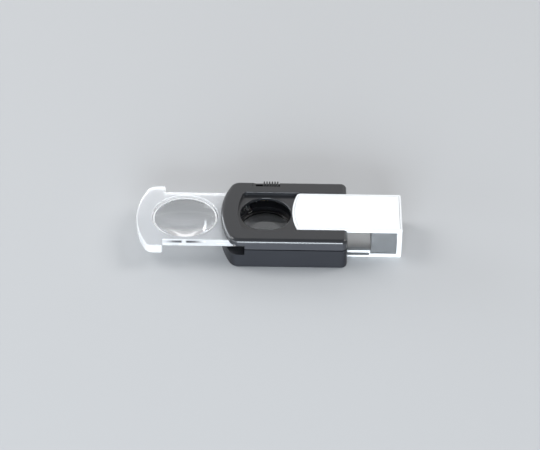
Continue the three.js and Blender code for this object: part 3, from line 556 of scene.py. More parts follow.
# %% [markdown]
# ## Finishes: helpers that find a place on a piece
#
# A mask is a pattern that is 1 in one place and 0 elsewhere. These helpers make masks from how
# upright a face stands, and from where a point lies on its piece. A mask moves with its piece, and
# looks the same from every side.

# %% Masks
def any_of(*masks):
    return maths("MAXIMUM", *masks)


def all_of(*masks):
    return maths("MULTIPLY", *masks)


def other_than(mask):
    return maths("SUBTRACT", 1.0, mask)


def upright_share(mat, steep=0.35, flat=0.85):
    """0 on faces that look up or down, 1 on faces that stand upright."""
    normal = add_node(mat.node_tree, "ShaderNodeNewGeometry").outputs["Normal"]
    split = add_node(mat.node_tree, "ShaderNodeSeparateXYZ", Vector=normal)
    steepness = maths("ABSOLUTE", split.outputs["Z"], 0.0)
    return spread(steepness, 1.0, 0.0, steep, flat)


def coordinate(mat, axis):
    """One of the piece's own coordinates, in metres."""
    return add_node(mat.node_tree, "ShaderNodeSeparateXYZ", Vector=place_of(mat)).outputs[axis]


def beyond(mat, axis, start, over=SEAT):
    """0 to 1 as a coordinate goes over a short way from start; y counts both ways."""
    along = coordinate(mat, axis)
    if axis == "Y":
        along = maths("ABSOLUTE", along, 0.0)
    return spread(along, 0.0, 1.0, start * MM, (start + over) * MM)


def short_of(mat, axis, start, over=SEAT):
    return other_than(beyond(mat, axis, start, over))


def rearwards(mat, start, end, low=0):
    """Grows from low to 1 towards the rear, as y goes from start to end."""
    return spread(coordinate(mat, "Y"), low, 1, start * MM, end * MM)


def away_from(mat, x, start, over=SEAT):
    """0 to 1 as the level distance from an upright line at x goes over a short way from start."""
    away = add_node(mat.node_tree, "ShaderNodeVectorMath")
    away.operation = "DISTANCE"
    fill(away.inputs[0], place_of(mat, (1, 1, 0)))
    fill(away.inputs[1], (x * MM, 0, 0))
    return spread(away.outputs["Value"], 0, 1, start * MM, (start + over) * MM)


print("masks: upright_share, beyond, short_of, rearwards and away_from")

# %% [markdown]
# ## Black moulded plastic
#
# The case is a hard black plastic. Its flat top is mid grey where it mirrors the room, and the bend
# in front of it is nearly black. So the plastic is very dark, and a thin glossy skin does the work.
# The long sides are duller, as a mould's sparked walls leave them. Their colour is painted lighter and a
# little cool, for the light from the front that they catch. The upper half's sides are painted lighter than
# the lower half's, which lie nearer the shade on the floor. Both effects fade out round the corners. Inner
# black pieces come from a plainer mould, and are rougher.

# %% Black plastics
SKIRT = 1.1
SKIN_ROUGHNESS = 0.13
TONE_DRIFT = 0.06
GLOSS_DRIFT = 0.05
GRAIN_GLOSS = 0.03
# Each row is a name, the colour of the top, the side colour with its painted light, roughness, grain size,
# grain depth and skin.
BLACKS = (
    ("satin_black_upper_lit_sides", (0.0115, 0.012, 0.014), (0.041, 0.042, 0.048), 0.50, 0.12, 0.003, 0.9),
    ("satin_black_lower", (0.011, 0.0115, 0.014), (0.018, 0.019, 0.023), 0.50, 0.12, 0.003, 0.35),
    ("matt_black_inner", (0.010, 0.010, 0.011), (0.012, 0.012, 0.013), 0.55, 0.10, 0.004, 0.2),
    ("switch_black", (0.013, 0.013, 0.014), (0.016, 0.016, 0.017), 0.42, 0.14, 0.003, 0.5),
)


def dull_and_painted_lit_sides(mat):
    """1 on the case's long sides, fading round the corners, and 0 on its top and in its pockets; it gives the
    duller skin and the painted lighter side colour.
    """
    flanks = beyond(mat, "Y", cover_high.y - SKIRT, SKIRT - SEAT)
    return all_of(upright_share(mat, 0.05, 0.30), flanks)


def moulded_black(name, top, side, rough, grain_mm, grain_depth, skin):
    mat, shader = principled(name)
    wall = dull_and_painted_lit_sides(mat)
    drift = noise(mat, size_mm=9.0)
    grain = noise(mat, grain_mm)
    # Painted light: the long sides blend to the lighter side colour.
    share = maths("ADD", wall, spread(drift, -TONE_DRIFT, TONE_DRIFT))
    patchy = spread(drift, rough - GLOSS_DRIFT, rough + GLOSS_DRIFT)
    speckled = maths("ADD", patchy, spread(grain, -GRAIN_GLOSS, GRAIN_GLOSS))
    put(
        shader,
        Base_Color=blend_colours(share, top, side),
        Roughness=maths("SUBTRACT", speckled, scratched(mat, depth=0.06)),
        IOR=1.54,
        Specular_IOR_Level=0.2,
        Coat_Weight=spread(wall, skin, skin / 3, 0, 1),
        Coat_Roughness=SKIN_ROUGHNESS,
    )
    relief(shader, grain, grain_depth)
    return mat


black_upper, black_shell, black_inner, black_knob = [moulded_black(*row) for row in BLACKS]
print("black plastics:", [row[0] for row in BLACKS])

# %% [markdown]
# ## Clear acrylic
#
# The slide and the sleeve look light grey on their faces and nearly white on their edges, because light that
# enters clear plastic is piped along inside and leaves at the edges. Tracing that is slow and noisy. So the
# acrylic passes most light on and keeps a small milky share that is larger on its edges. The piped light is
# painted in, as a whiter colour on the edges and a faint glow where piped light leaves. Each piece brings its
# own masks.

# %% Acrylic
# The first colour is the painted light of glowing edges and of the glow, the second is painted shade.
GLOW_TINT = (0.90, 0.905, 0.91)
PAINTED_SHADE_TINT = (0.10, 0.10, 0.105)
EDGE_DRIFT = 0.05
ACRYLIC_IOR = 1.49


def shine(shader, mask, glow):
    """A painted glow for light that was piped along inside the acrylic and leaves where the mask is 1."""
    strength = spread(mask, 0.0, glow, 0, 1)
    put(shader, Emission_Color=(*GLOW_TINT, 1), Emission_Strength=strength)


def clear_plastic(name, tint, masks_of, clear_face, clear_edge, rough_face, rough_edge, glow):
    mat, shader = principled(name)
    masks = masks_of(mat)
    edge = masks["edge"]
    drift = noise(mat, size_mm=6.0)
    milky = spread(edge, 1 - clear_face, 0, 0, 1)
    if "veil" in masks:
        milky = all_of(milky, masks["veil"])
    milky = maths("ADD", milky, spread(edge, 0, 1 - clear_edge, 0, 1))
    if "in_light" in masks:
        milky = all_of(milky, masks["in_light"])
    rough = spread(edge, rough_face, rough_edge, 0, 1)
    uneven = spread(drift, low=-0.015, high=0.02)
    # Painted light and shade: edges blend to the whiter glow colour, and the shade mask darkens to painted
    # shade.
    share = maths("ADD", edge, spread(drift, -EDGE_DRIFT, EDGE_DRIFT))
    colour = blend_colours(share, tint, GLOW_TINT)
    if "shade" in masks:
        colour = blend_colours(masks["shade"], colour, PAINTED_SHADE_TINT)
    put(
        shader,
        Base_Color=colour,
        Transmission_Weight=other_than(milky),
        Roughness=maths("ADD", rough, uneven, scratched(mat, depth=0.10)),
        IOR=ACRYLIC_IOR,
    )
    shine(shader, masks["piped"], glow)
    relief(shader, drift, depth_mm=0.02, strength=0.3)
    return mat


print("acrylic glows in", GLOW_TINT)

# %% [markdown]
# ## Where the slide is bright
#
# The slide has a painted glow on its outer upright faces, stronger to the rear than to us. Its top has a
# painted milky rim along its sides, its bowed end and the lens, for the bright walls seen from inside. The
# front face has two streaks of painted shade where the lens shows through it. The wall of its seat gets
# painted shade, and inside the case the painted glow and the milky share are left out.

# %% Masks and finish of the slide
EDGE_GLOW = 0.5
BOW_GLOW = 0.6
RIM_GLOW = 0.22
FRONT_GLOW = 0.1
WALL_SHADE = 0.6
BOW_DEPTH = 5.0
STREAK_LOW = slide_high.z - 1.7
STREAK_HIGH = slide_high.z - 0.6
STREAK_APART = 0.5
STREAK_FULL = 1.1


def painted_lens_streaks(mat):
    """Two streaks of painted shade on the slide's front face, where the lens shows through it."""
    sideways = maths("SUBTRACT", coordinate(mat, "X"), BIG_X * MM)
    distance = maths("ABSOLUTE", sideways, 0.0)
    return all_of(
        other_than(away_from(mat, BIG_X, SLIDE_HALF + GAP, PAST - GAP)),
        beyond(mat, "Z", STREAK_LOW, GAP),
        short_of(mat, "Z", STREAK_HIGH, GAP),
        spread(distance, 0, 1, STREAK_APART * MM, STREAK_FULL * MM),
        other_than(rearwards(mat, -1, 1)),
    )


def slide_masks(mat):
    seat_out = big_radius + GAP
    along = all_of(
        beyond(mat, "Y", SLIDE_HALF - EDGE_GLOW),
        beyond(mat, "X", bar_right),
    )
    bowed_rim = away_from(mat, slide_low.x + CASE_BOW, CASE_BOW - BOW_GLOW, GAP)
    tips = beyond(mat, "Y", cover_high.y - EDGE_GLOW)
    lens_rim = all_of(
        other_than(away_from(mat, BIG_X, seat_out + RIM_GLOW)),
        beyond(mat, "Z", slide_high.z - GAP),
    )
    off_seat = away_from(mat, BIG_X, seat_out + SEAT)
    in_light = short_of(mat, "X", cover_low.x + BOW_DEPTH - SEAT)
    upright = upright_share(mat)
    outer = all_of(upright, off_seat)
    streaks = all_of(outer, painted_lens_streaks(mat))
    seat_wall = all_of(upright, other_than(off_seat))
    # The painted glow is stronger to the rear than at the front.
    share = rearwards(mat, -1, 1, FRONT_GLOW)
    # Painted light on the rims and upright faces, and painted shade on the streaks and the seat wall.
    return {
        "edge": any_of(upright, along, bowed_rim, tips, lens_rim),
        "piped": all_of(outer, other_than(streaks), share, in_light),
        "in_light": in_light,
        "shade": any_of(streaks, spread(seat_wall, 0, WALL_SHADE, 0, 1)),
    }


slide_acrylic = clear_plastic(
    "slide_acrylic", (0.82, 0.83, 0.845), slide_masks,
    clear_face=0.70, clear_edge=0.58, rough_face=0.12, rough_edge=0.2, glow=0.68,
)
print("clear finish:", slide_acrylic.name)

# %% [markdown]
# ## Where the sleeve is bright
#
# The sleeve is painted whitest where a wall is seen end on: its right wall, the edge of its floor, its rails
# and its top plate. Between them the hollow block's side is nearly clear. In the opening beside the case, the
# floor plate gets a small painted glow to the rear that fades towards us.

# %% Masks and finish of the sleeve
OPEN_DARK = 8.0
OPEN_LIGHT = 3.5
FLOOR_VEIL = 1.8
WALL_VEIL = 0.38


def sleeve_masks(mat):
    upright = upright_share(mat)
    skin = beyond(mat, "Y", sleeve_high.y - 2 * GAP, GAP)
    right_wall = beyond(mat, "X", hollow_end - SEAT, 2 * SEAT)
    floor_edge = short_of(mat, "Z", BLOCK_FLOOR - SEAT, 2 * SEAT)
    before_block = short_of(mat, "X", block_x - GAP - SEAT)
    rail = all_of(short_of(mat, "Z", RAIL_TOP), before_block)
    top = beyond(mat, "Z", under_top - SEAT)
    sides = all_of(skin, any_of(floor_edge, rail))
    walls = all_of(upright, any_of(sides, right_wall))
    # Painted glow on the floor plate in the opening, fading towards the front.
    piped = all_of(
        other_than(upright),
        short_of(mat, "Z", BLOCK_FLOOR - 2 * SEAT),
        beyond(mat, "Z", GAP, GAP),
        beyond(mat, "X", cover_high.x - SEAT),
        rearwards(mat, -OPEN_DARK, -OPEN_LIGHT),
    )
    veil = spread(upright, FLOOR_VEIL, WALL_VEIL, 0, 1)
    return {"edge": any_of(top, walls), "piped": piped, "veil": veil}


sleeve_acrylic = clear_plastic(
    "sleeve_acrylic", (0.87, 0.885, 0.90), sleeve_masks,
    clear_face=0.79, clear_edge=0.08, rough_face=0.07, rough_edge=0.25, glow=0.2,
)
print("clear finish:", sleeve_acrylic.name)

# %% [markdown]
# ## Lenses and resin
#
# The lenses and the lamp are polished, so only their ground rims keep some light. The big lens has a narrow
# ground flange too, with a painted glow like the slide's edges. Its colour is a little darker towards the
# rear: painted shade for the dark case that the photograph shows in it.

# %% Polished finishes
FLANGE = 0.55
LENS_FADE = 12.0
RIM_ROUGH = 0.35
DEEPER = 0.99


def lens_flange(mat):
    """The big lens has a narrow ground flange outside its polished faces."""
    inner = big_radius - FLANGE
    return any_of(upright_share(mat), away_from(mat, BIG_X, inner - SEAT))


def polished(name, tint, ior, clear_rim=0.75, rim_of=upright_share, glow=0.0, rear_painted_shade=None):
    mat, shader = principled(name)
    rim = rim_of(mat)
    ground = maths("MULTIPLY", rim, RIM_ROUGH)
    body = blend_colours(noise(mat, size_mm=8.0), tint, tuple(c * DEEPER for c in tint))
    # Painted shade: the body colour darkens towards the rear.
    if rear_painted_shade:
        body = blend_colours(rearwards(mat, -LENS_FADE / 3, LENS_FADE), body, rear_painted_shade)
    put(
        shader,
        Base_Color=blend_colours(rim, body, GLOW_TINT if glow else tint),
        Roughness=maths("ADD", scratched(mat, depth=0.025), ground),
        Transmission_Weight=spread(rim, 1.0, clear_rim, 0, 1),
        IOR=ior,
    )
    if glow:
        shine(shader, rim, glow)
    return mat


lens_acrylic = polished(
    "lens_acrylic", (0.96, 0.965, 0.97), ACRYLIC_IOR,
    clear_rim=0.3, rim_of=lens_flange, glow=0.25, rear_painted_shade=(0.52, 0.525, 0.535),
)
lens_glass = polished("lens_glass", (0.90, 0.92, 0.93), ior=1.52)
lamp_resin = polished("lamp_resin", (0.98, 0.975, 0.95), ior=1.5)
print("polished finishes:", lens_acrylic.name, lens_glass.name, lamp_resin.name)

# %% [markdown]
# ## White plate, metals and wire insulation
#
# The sleeve's top is a smooth white sheet with a light gloss, a few hairlines and a faint warm cast.
# The screws are plated steel, the cells bright nickel, and the contacts spring brass. Metal finish is
# mostly roughness that runs one way, so the noise is squeezed across the brush direction.

# %% White, metal and wire finishes
def white_sheet(name, light, dark):
    mat, shader = principled(name)
    drift = noise(mat, size_mm=14.0, detail=3.0)
    rough = spread(drift, low=0.26, high=0.36)
    put(
        shader,
        Base_Color=blend_colours(drift, light, dark),
        Roughness=maths("ADD", rough, scratched(mat, depth=0.12)),
        IOR=1.5,
        Coat_Weight=0.25,
        Coat_Roughness=0.12,
    )
    relief(shader, noise(mat, size_mm=0.25), depth_mm=0.002, strength=0.5)
    return mat


def brushed_metal(name, light, dark, rough, stretch):
    mat, shader = principled(name)
    brush = noise(mat, size_mm=0.5, detail=4.0, stretch=stretch)
    stains = noise(mat, size_mm=3.0, detail=3.0)
    put(
        shader,
        Base_Color=blend_colours(stains, dark, light),
        Roughness=spread(brush, low=rough - 0.08, high=rough + 0.1),
        Metallic=1.0,
    )
    relief(shader, brush, depth_mm=0.004, strength=0.6)
    return mat


def insulation(name, light, dark):
    mat, shader = principled(name)
    drift = noise(mat, size_mm=2.0, detail=3.0)
    rough = spread(drift, low=0.38, high=0.55)
    put(shader, Base_Color=blend_colours(drift, dark, light), Roughness=rough)
    relief(shader, noise(mat, size_mm=0.3), depth_mm=0.005, strength=0.5)
    return mat


white_plate = white_sheet("white_plate", (0.88, 0.88, 0.87), (0.84, 0.845, 0.84))
plated_steel = brushed_metal("plated_steel", (0.62, 0.63, 0.65), (0.5, 0.51, 0.53), 0.3, (1, 6, 1))
cell_nickel = brushed_metal("cell_nickel", (0.70, 0.69, 0.67), (0.6, 0.6, 0.59), 0.24, (6, 1, 1))
spring_brass = brushed_metal("spring_brass", (0.74, 0.56, 0.28), (0.62, 0.45, 0.2), 0.32, (1, 1, 6))
red_wire = insulation("red_insulation", (0.45, 0.02, 0.018), (0.34, 0.014, 0.012))
black_wire = insulation("black_insulation", (0.016, 0.016, 0.017), (0.01, 0.01, 0.011))
print("other finishes:", white_plate.name, plated_steel.name, cell_nickel.name, spring_brass.name)

# %% [markdown]
# ## The black case: what both halves share
#
# The halves meet at the middle of the slide's channel, and every opening that crosses the parting
# line is cut into both: the notch for the slide's end bar, the channel, and the way for the sleeve's
# hollow block. One function makes those tools, so the halves can't disagree. A shallow groove draws
# the thin dark gap that two mouldings leave.

# %% Shared forms and cutting tools
CASE_CORNER = 4.0
CASE_TAIL = 2.2
EAR_HALF = 15.1
PRONG_INNER = 11.5
EAR_LENGTH = 2.1
SLIDE_REACH = 19.5
SLEEVE_BOW = 30.1
SLEEVE_CORNER = 1.5
SLEEVE_TAIL = 0.9
LIP_THICKNESS = 0.5
CASE_WALL = 1.2
CASE_BREAK = 0.08
RIM_EASE = 0.22
PARTING_GAP = 0.2
PARTING_DEPTH = 0.5
SCREW_RADIUS = 0.6
SCREW_HEAD = 0.7

case_outline = bowed(cover_low.x, cover_high.x, cover_high.y, CASE_BOW, CASE_CORNER, CASE_TAIL)
deck_x = EYE_X + SLIDE_REACH
recess_half = sleeve_high.y + GAP
recess_x = sleeve_low.x - travel["guard"] - GAP
prong_tip_x = slide_high.x + travel["slide"]
stop_x = slide_high.x - EAR_LENGTH - GAP
lip_top = eye_low.z - SEAT / 2
deck_bottom = lip_top - LIP_THICKNESS
recess_outline = bowed(
    recess_x, cover_high.x + PAST, recess_half,
    SLEEVE_BOW + GAP, SLEEVE_CORNER + GAP, SLEEVE_TAIL,
)
shadow_line = [
    (PARTING_DEPTH, PARTING_Z),
    (PARTING_DEPTH, PARTING_Z + PARTING_GAP),
    (0, PARTING_Z + PARTING_GAP),
]


def channel_tools():
    half = cover_high.y + PAST
    ear_way = EAR_HALF + GAP
    way = SLIDE_HALF + GAP
    notch = block(cover_low.x - PAST, notch_x, -half, half, slide_low.z - GAP, CHANNEL_TOP)
    narrow = block(notch_x - PAST, stop_x + PAST, -way, way, DECK_TOP, CHANNEL_TOP)
    wide = block(stop_x, prong_tip_x + GAP, -ear_way, ear_way, DECK_TOP, CHANNEL_TOP)
    return [notch, narrow, wide]


def sleeve_way(z0, z1):
    return block(deck_x, cover_high.x + PAST, -recess_half, recess_half, z0, z1)


def screw_tools():
    tools = []
    for i in range(1, 5):
        low, high = box_mm(f"case_screw_{i}")
        head = (high.x - low.x) / 2 + SEAT
        shank = SCREW_RADIUS + SEAT
        shoulder = low.z + SCREW_HEAD
        profile = filled(
            (head + RIM_EASE, -PAST), (head + RIM_EASE, 0), (head, RIM_EASE),
            (head, shoulder), (shank, shoulder), (shank, high.z + GAP),
        )
        tools.append(lathe("screw_hole", profile, (low.x + high.x) / 2, (low.y + high.y) / 2, steps=32))
    return tools


print("channel", round(CHANNEL_TOP - DECK_TOP, 2), "mm high, deck down to", round(deck_bottom, 2), "mm")

# %% [markdown]
# ## The upper half
#
# The top edge is rounded by 1.6 mm, the line that catches the light. The recess has the sleeve's own
# outline with a running gap, and its rim is eased by a flared tool. The viewing hole is turned. The
# switch sits in a notch behind a low wall in the rear edge, which runs out to the left in a shallow
# scoop for a fingernail.

# %% Upper half of the case
TOP_EDGE = 1.6
TOP_STEPS = 10
HOLE_EASE = 0.35
SCOOP_LENGTH = 1.4
SCOOP_DEPTH = 1.0
SCOOP_KNEE_X = 0.45
SCOOP_KNEE_Z = 0.72
SWITCH_WALL = 0.9
LEG_LENGTH = 2.0
LEG_THICKNESS = 0.6
SWITCH_FLOOR = 0.5
KNOB_ROOM = 0.3

switch_left = knob_low.x - travel["knob"] - KNOB_ROOM
switch_right = knob_high.x + KNOB_ROOM
switch_floor = CHANNEL_TOP + SWITCH_FLOOR
wall_y = cover_high.y - SWITCH_WALL
wall_top = CASE_TOP - SCOOP_DEPTH
leg_inner = EAR_HALF + GAP + SEAT / 2
leg_outer = leg_inner + LEG_THICKNESS
knob_x = (knob_low.x + knob_high.x) / 2


def switch_notch():
    profile = [
        (switch_left - SCOOP_LENGTH, CASE_TOP + PAST),
        (switch_left - SCOOP_LENGTH, CASE_TOP),
        (switch_left - SCOOP_LENGTH * SCOOP_KNEE_X, CASE_TOP - SCOOP_DEPTH * SCOOP_KNEE_Z),
        (switch_left, CASE_TOP - SCOOP_DEPTH),
        (switch_left, switch_floor),
        (switch_right, switch_floor),
        (switch_right, CASE_TOP + PAST),
    ]
    notch = extruded("notch", profile, knob_low.y - KNOB_ROOM, cover_high.y + PAST)
    wall = block(switch_left - PAST, switch_right + PAST, wall_y, cover_high.y + 2 * PAST, 0, wall_top)
    return cut(notch, wall)


def leg_slot():
    left = knob_x - LEG_LENGTH / 2 - travel["knob"] - GAP
    right = knob_x + LEG_LENGTH / 2 + GAP
    return block(left, right, leg_inner - GAP, leg_outer + GAP, DECK_TOP - PAST, switch_floor + PAST)


def side_hollows():
    """The two hollows that keep the walls beside the sleeve's recess thin."""
    inner, outer = recess_half + CASE_WALL, cover_high.y - CASE_WALL
    left, top = switch_right + CASE_WALL, CASE_TOP - CASE_WALL
    return twin_blocks(left, prong_tip_x, inner, outer, PARTING_Z - PAST, top)


def hole_tool():
    rim = [(HOLE_RADIUS + inset, z) for inset, z in round_up(HOLE_EASE, RECESS_FLOOR, 4)]
    top = (HOLE_RADIUS + HOLE_EASE, RECESS_FLOOR + SEAT)
    return lathe("hole", filled((HOLE_RADIUS, CHANNEL_TOP - PAST), *rim, top), EYE_X)


upper = stacked("upper", case_outline, shadow_line + round_up(TOP_EDGE, CASE_TOP, TOP_STEPS))
recess = stacked("recess", recess_outline, [(0, RECESS_FLOOR)] + flare(RIM_EASE, CASE_TOP, 4))
upper = cut(upper, *channel_tools(), sleeve_way(PARTING_Z - PAST, RECESS_FLOOR + SEAT), recess, hole_tool())
upper = cut(upper, switch_notch(), leg_slot(), *side_hollows(), *screw_tools())
upper = break_edges(upper, CASE_BREAK)
finish_piece(upper, "case_upper_half", black_upper, "case", ["top_cover"])

# %% [markdown]
# ## The lower half
#
# The lower half is a tray. Its deck holds the fixed lens in a round seat. Below it runs the way for
# the sleeve's floor, with a tongue on each wall for the sleeve's grooves. The battery trough stands
# alone in the open square end, joined to the deck only, and the sleeve's hollow block swallows it
# when it is pushed home.

# %% Lower half of the case
BOTTOM_EDGE = 1.0
LENS_LIP = 0.8
SLEEVE_FLOOR = 1.0
RAIL_GROOVE = 1.3
RAIL_WEB = 1.0
RAIL_OVERHANG = 1.0
GROOVE_STOP = 2.5
GROOVE_END = 0.5
POCKET_WIDTH = 3.4
CELL_RADIUS = 3.95
CORE_WALL = 0.65
CORE_FLOOR = 0.7
LAMP_RADIUS = 1.5
LAMP_RIM = 0.25
LAMP_RIM_HEIGHT = 0.5

core_half = lid_high.y
core_top = lid_high.z - CORE_WALL - SEAT / 2
cell_low, cell_high = box_mm("button_cell_1")
cell_x = (cell_low.x + cell_high.x) / 2
cell_z = (cell_low.z + cell_high.z) / 2
core_bottom = cell_low.z - SEAT - CORE_FLOOR
web_outer = sleeve_high.y - RAIL_OVERHANG
lamp_x, lamp_y = (lamp_low.x + lamp_high.x) / 2, (lamp_low.y + lamp_high.y) / 2


def rail_tongues():
    left = sleeve_low.x + GROOVE_STOP + GAP
    right = lid_low.x - GROOVE_END - RAIL_GROOVE / 2
    z0, z1 = SLEEVE_FLOOR + GAP, SLEEVE_FLOOR + RAIL_GROOVE - GAP
    return twin_blocks(left, right, web_outer + GAP, recess_half + PAST, z0, z1)


def trough_tool():
    half = core_half - CORE_WALL
    reach = CELL_RADIUS + SEAT
    bed = lathe("bed", filled((reach, -half), (reach, half)), steps=48)
    place = Matrix.Translation(Vector((cell_x, 0, cell_z)) * MM)
    bed.data.transform(place @ Matrix.Rotation(QUARTER, 4, "X"))
    return join(bed, block(cell_x - reach, cell_x + reach, -half, half, cell_z, core_top + PAST))


def lens_seat():
    lip, wall = eye_radius - LENS_LIP, eye_radius + GAP
    profile = filled((lip, -PAST), (lip, lip_top), (wall, lip_top), (wall, DECK_TOP + PAST))
    return lathe("seat", profile, EYE_X)


def lamp_tool():
    rim_z = lamp_high.z - LAMP_RIM_HEIGHT - SEAT / 2
    body, rim = LAMP_RADIUS + SEAT, LAMP_RADIUS + LAMP_RIM + SEAT
    profile = filled((body, deck_bottom - GAP), (body, rim_z), (rim, rim_z), (rim, DECK_TOP + PAST))
    return lathe("lamp_hole", profile, lamp_x, lamp_y, steps=40)


levels = round_down(BOTTOM_EDGE, 0, 8) + [(inset, 2 * PARTING_Z - z) for inset, z in reversed(shadow_line)]
lower = stacked("lower", case_outline, levels)
way = stacked("way", recess_outline, [(-RIM_EASE, -PAST), (-RIM_EASE, 0), (0, RIM_EASE), (0, deck_bottom)])
way = cut(way, *rail_tongues())
lower = cut(lower, *channel_tools(), sleeve_way(-PAST, PARTING_Z + PAST), way)
core = block(lid_low.x, lid_high.x, -core_half, core_half, core_bottom, core_top)
neck = block(deck_x - PAST, lid_high.x, -core_half, core_half, deck_bottom, DECK_TOP)
lower = cut(join(lower, core, neck), trough_tool())
lower = cut(lower, lens_seat(), lamp_tool(), *screw_tools())
pocket_outer = cover_high.y - CASE_WALL
pocket_inner = pocket_outer - POCKET_WIDTH
pocket_x = box_mm("contact_strip_lamp")[0].x - GAP
pockets = twin_blocks(pocket_x, prong_tip_x, pocket_inner, pocket_outer, CASE_WALL, PARTING_Z + PAST)
lower = cut(lower, *reversed(pockets))
lower = break_edges(lower, CASE_BREAK)
finish_piece(lower, "case_lower_half", black_shell, "case", ["bottom_case"])

# %% [markdown]
# ## The lens slide
#
# The slide is one clear moulding: a 3 mm plate with two prongs, and a curved bar across its outer end
# that hangs a little lower and completes the case's outline when the slide is home. The bar has the
# case's own bow, so the same maker draws it. The lens sits in a round seat with a lip below, and a
# shallow collar frees its lower rim where the seat runs into the bar.

# %% Lens slide
BAR_EDGE = 0.5
PLATE_EDGE = 0.22
SLIDE_CORNER = 1.0
BAR_TIP = 0.6
LENS_EDGE = 0.8
COLLAR = 0.55
LENS_HOLD = 0.6
SEAT_EASE = 0.18
CLEAR_BREAK = 0.07

home = travel["slide"]
plate_z0, plate_z1 = slide_low.z + BAR_DROP, slide_high.z
middle_z = (plate_z0 + plate_z1) / 2
bar_outline = bowed(slide_low.x, bar_right, cover_high.y, CASE_BOW, CASE_CORNER, BAR_TIP)


def slide_plate(inset):
    tip = slide_high.x
    ear = tip - EAR_LENGTH + inset
    inner_x, inner_y = EYE_X + SLIDE_REACH - home + SLIDE_CORNER, PRONG_INNER - SLIDE_CORNER
    front = [
        (notch_x - GAP - PAST - home, -SLIDE_HALF + inset),
        (ear, -SLIDE_HALF + inset),
        (ear, -EAR_HALF + inset),
        (tip - inset, -EAR_HALF + inset),
        (tip - inset, -PRONG_INNER - inset),
    ]
    front += arc(inner_x, -inner_y, SLIDE_CORNER + inset, 3 * QUARTER, 2 * QUARTER, CORNER_STEPS)
    return front + [(x, -y) for x, y in reversed(front)]


def slide_seat():
    seat = big_radius + GAP
    hold = big_radius - LENS_HOLD
    lip_z = middle_z - LENS_EDGE / 2 - 2 * SEAT
    profile = filled(
        (seat + COLLAR, slide_low.z - PAST), (seat + COLLAR, plate_z0),
        (hold + SEAT_EASE, plate_z0), (hold, plate_z0 + SEAT_EASE), (hold, lip_z), (seat, lip_z),
        (seat, plate_z1 - SEAT_EASE), (seat + SEAT_EASE, plate_z1), (seat + SEAT_EASE, plate_z1 + PAST),
    )
    return lathe("seat", profile, BIG_X)


plate = stacked("plate", slide_plate, round_down(PLATE_EDGE, plate_z0, 3) + round_up(PLATE_EDGE, plate_z1, 3))
bar = stacked("bar", bar_outline, round_down(BAR_EDGE, slide_low.z) + round_up(BAR_EDGE, slide_high.z))
slide = cut(join(plate, bar), slide_seat())
slide = break_edges(slide, CLEAR_BREAK)
finish_piece(slide, "clear_slide", slide_acrylic, "slide", ["lens_slide"])

# %% [markdown]
# ## The two lenses
#
# A lens only bends light rightly if its faces are true arcs with smooth normals. The large one is
# convex on both faces, with a thin edge between. The small one is flat below and domed above, with a
# flat rim for its ring. Both have many steps along the arc, because a coarse dome shows rings in what
# it magnifies.

# %% Lenses
DOME_STEPS = 22
EYE_RIM = 1.0
EYE_EDGE = 0.6


def cap(radius, rim_z, rise):
    """Profile points of a lens face, from its rim to its pole."""
    curve = (radius ** 2 + rise ** 2) / (2 * abs(rise))
    side = math.copysign(1, rise)
    radii = [radius * (1 - i / DOME_STEPS) for i in range(DOME_STEPS + 1)]
    return [(r, rim_z + rise - side * (curve - math.sqrt(curve ** 2 - r ** 2))) for r in radii]


rise = big_high.z - middle_z - LENS_EDGE / 2
lower_face = cap(big_radius, middle_z - LENS_EDGE / 2, -rise)
upper_face = cap(big_radius, middle_z + LENS_EDGE / 2, rise)
big_lens = lathe("big_lens", lower_face[::-1] + upper_face, BIG_X)
finish_piece(big_lens, "slide_lens_ground", lens_acrylic, "slide", ["slide_lens"])

rim_top = eye_low.z + EYE_EDGE
profile = [(0, eye_low.z), (eye_radius - SEAT, eye_low.z), (eye_radius, eye_low.z + SEAT)]
profile += [(eye_radius, rim_top)] + cap(eye_radius - EYE_RIM, rim_top, eye_high.z - rim_top)
eye_lens = lathe("eye_lens", profile, EYE_X)
finish_piece(eye_lens, "fixed_lens_ground", lens_glass, "case", ["fixed_lens"])

# %% [markdown]
# ## The retaining ring
#
# A thin black ring presses the small lens into its seat. Through the viewing hole, its inner lip
# shows as one thin grey arc in front of the dark lens. Only a rounded lip gives such a line, because
# some part of it always faces the light.

# %% Retaining ring
RING_WIDTH = 0.7
RING_ROUND = 0.2
inner = eye_radius - RING_WIDTH
outer = (ring_high.x - ring_low.x) / 2
lip = [(inner + RING_ROUND * (1 - math.sin(a)), ring_high.z - RING_ROUND * (1 - math.cos(a)))
       for a in quarter_turn(4)]
profile = [(inner, ring_low.z), (outer, ring_low.z), (outer, ring_high.z)] + lip + [(inner, ring_low.z)]
ring = lathe("ring", profile, EYE_X)
finish_piece(ring, "retaining_ring", black_knob, "case", ["lens_ring"])

# %% [markdown]
# ## The sleeve and its white top
#
# The sleeve is a clear box that is open at both sides near the case. Its top and floor plates guard
# the small lens when it is home, and the block at its end is hollow to clear the batteries. Two rails
# stand on the floor plate. A groove along each takes a tongue of the case, and its closed ends keep
# the sleeve from falling out.

# %% Sleeve
SLEEVE_EDGE = 0.3
BLOCK_SIDE = 1.2
INLAY_INSET = 0.8
INLAY_CORNER = 0.6
SHEET_FOOT = 0.05
SHEET_EDGE = 0.12

sleeve_outline = bowed(
    sleeve_low.x, sleeve_high.x, sleeve_high.y,
    SLEEVE_BOW, SLEEVE_CORNER, SLEEVE_TAIL,
)
inlay_outline = bowed(
    sleeve_low.x + INLAY_INSET, sleeve_high.x - INLAY_INSET, sleeve_high.y - INLAY_INSET,
    SLEEVE_BOW - INLAY_INSET, INLAY_CORNER, INLAY_CORNER,
)
inlay_z = plate_low.z - SEAT / 2
web_inner = web_outer - RAIL_WEB
hollow_half = sleeve_high.y - BLOCK_SIDE
mouth_x = sleeve_low.x - PAST
far = cover_high.y


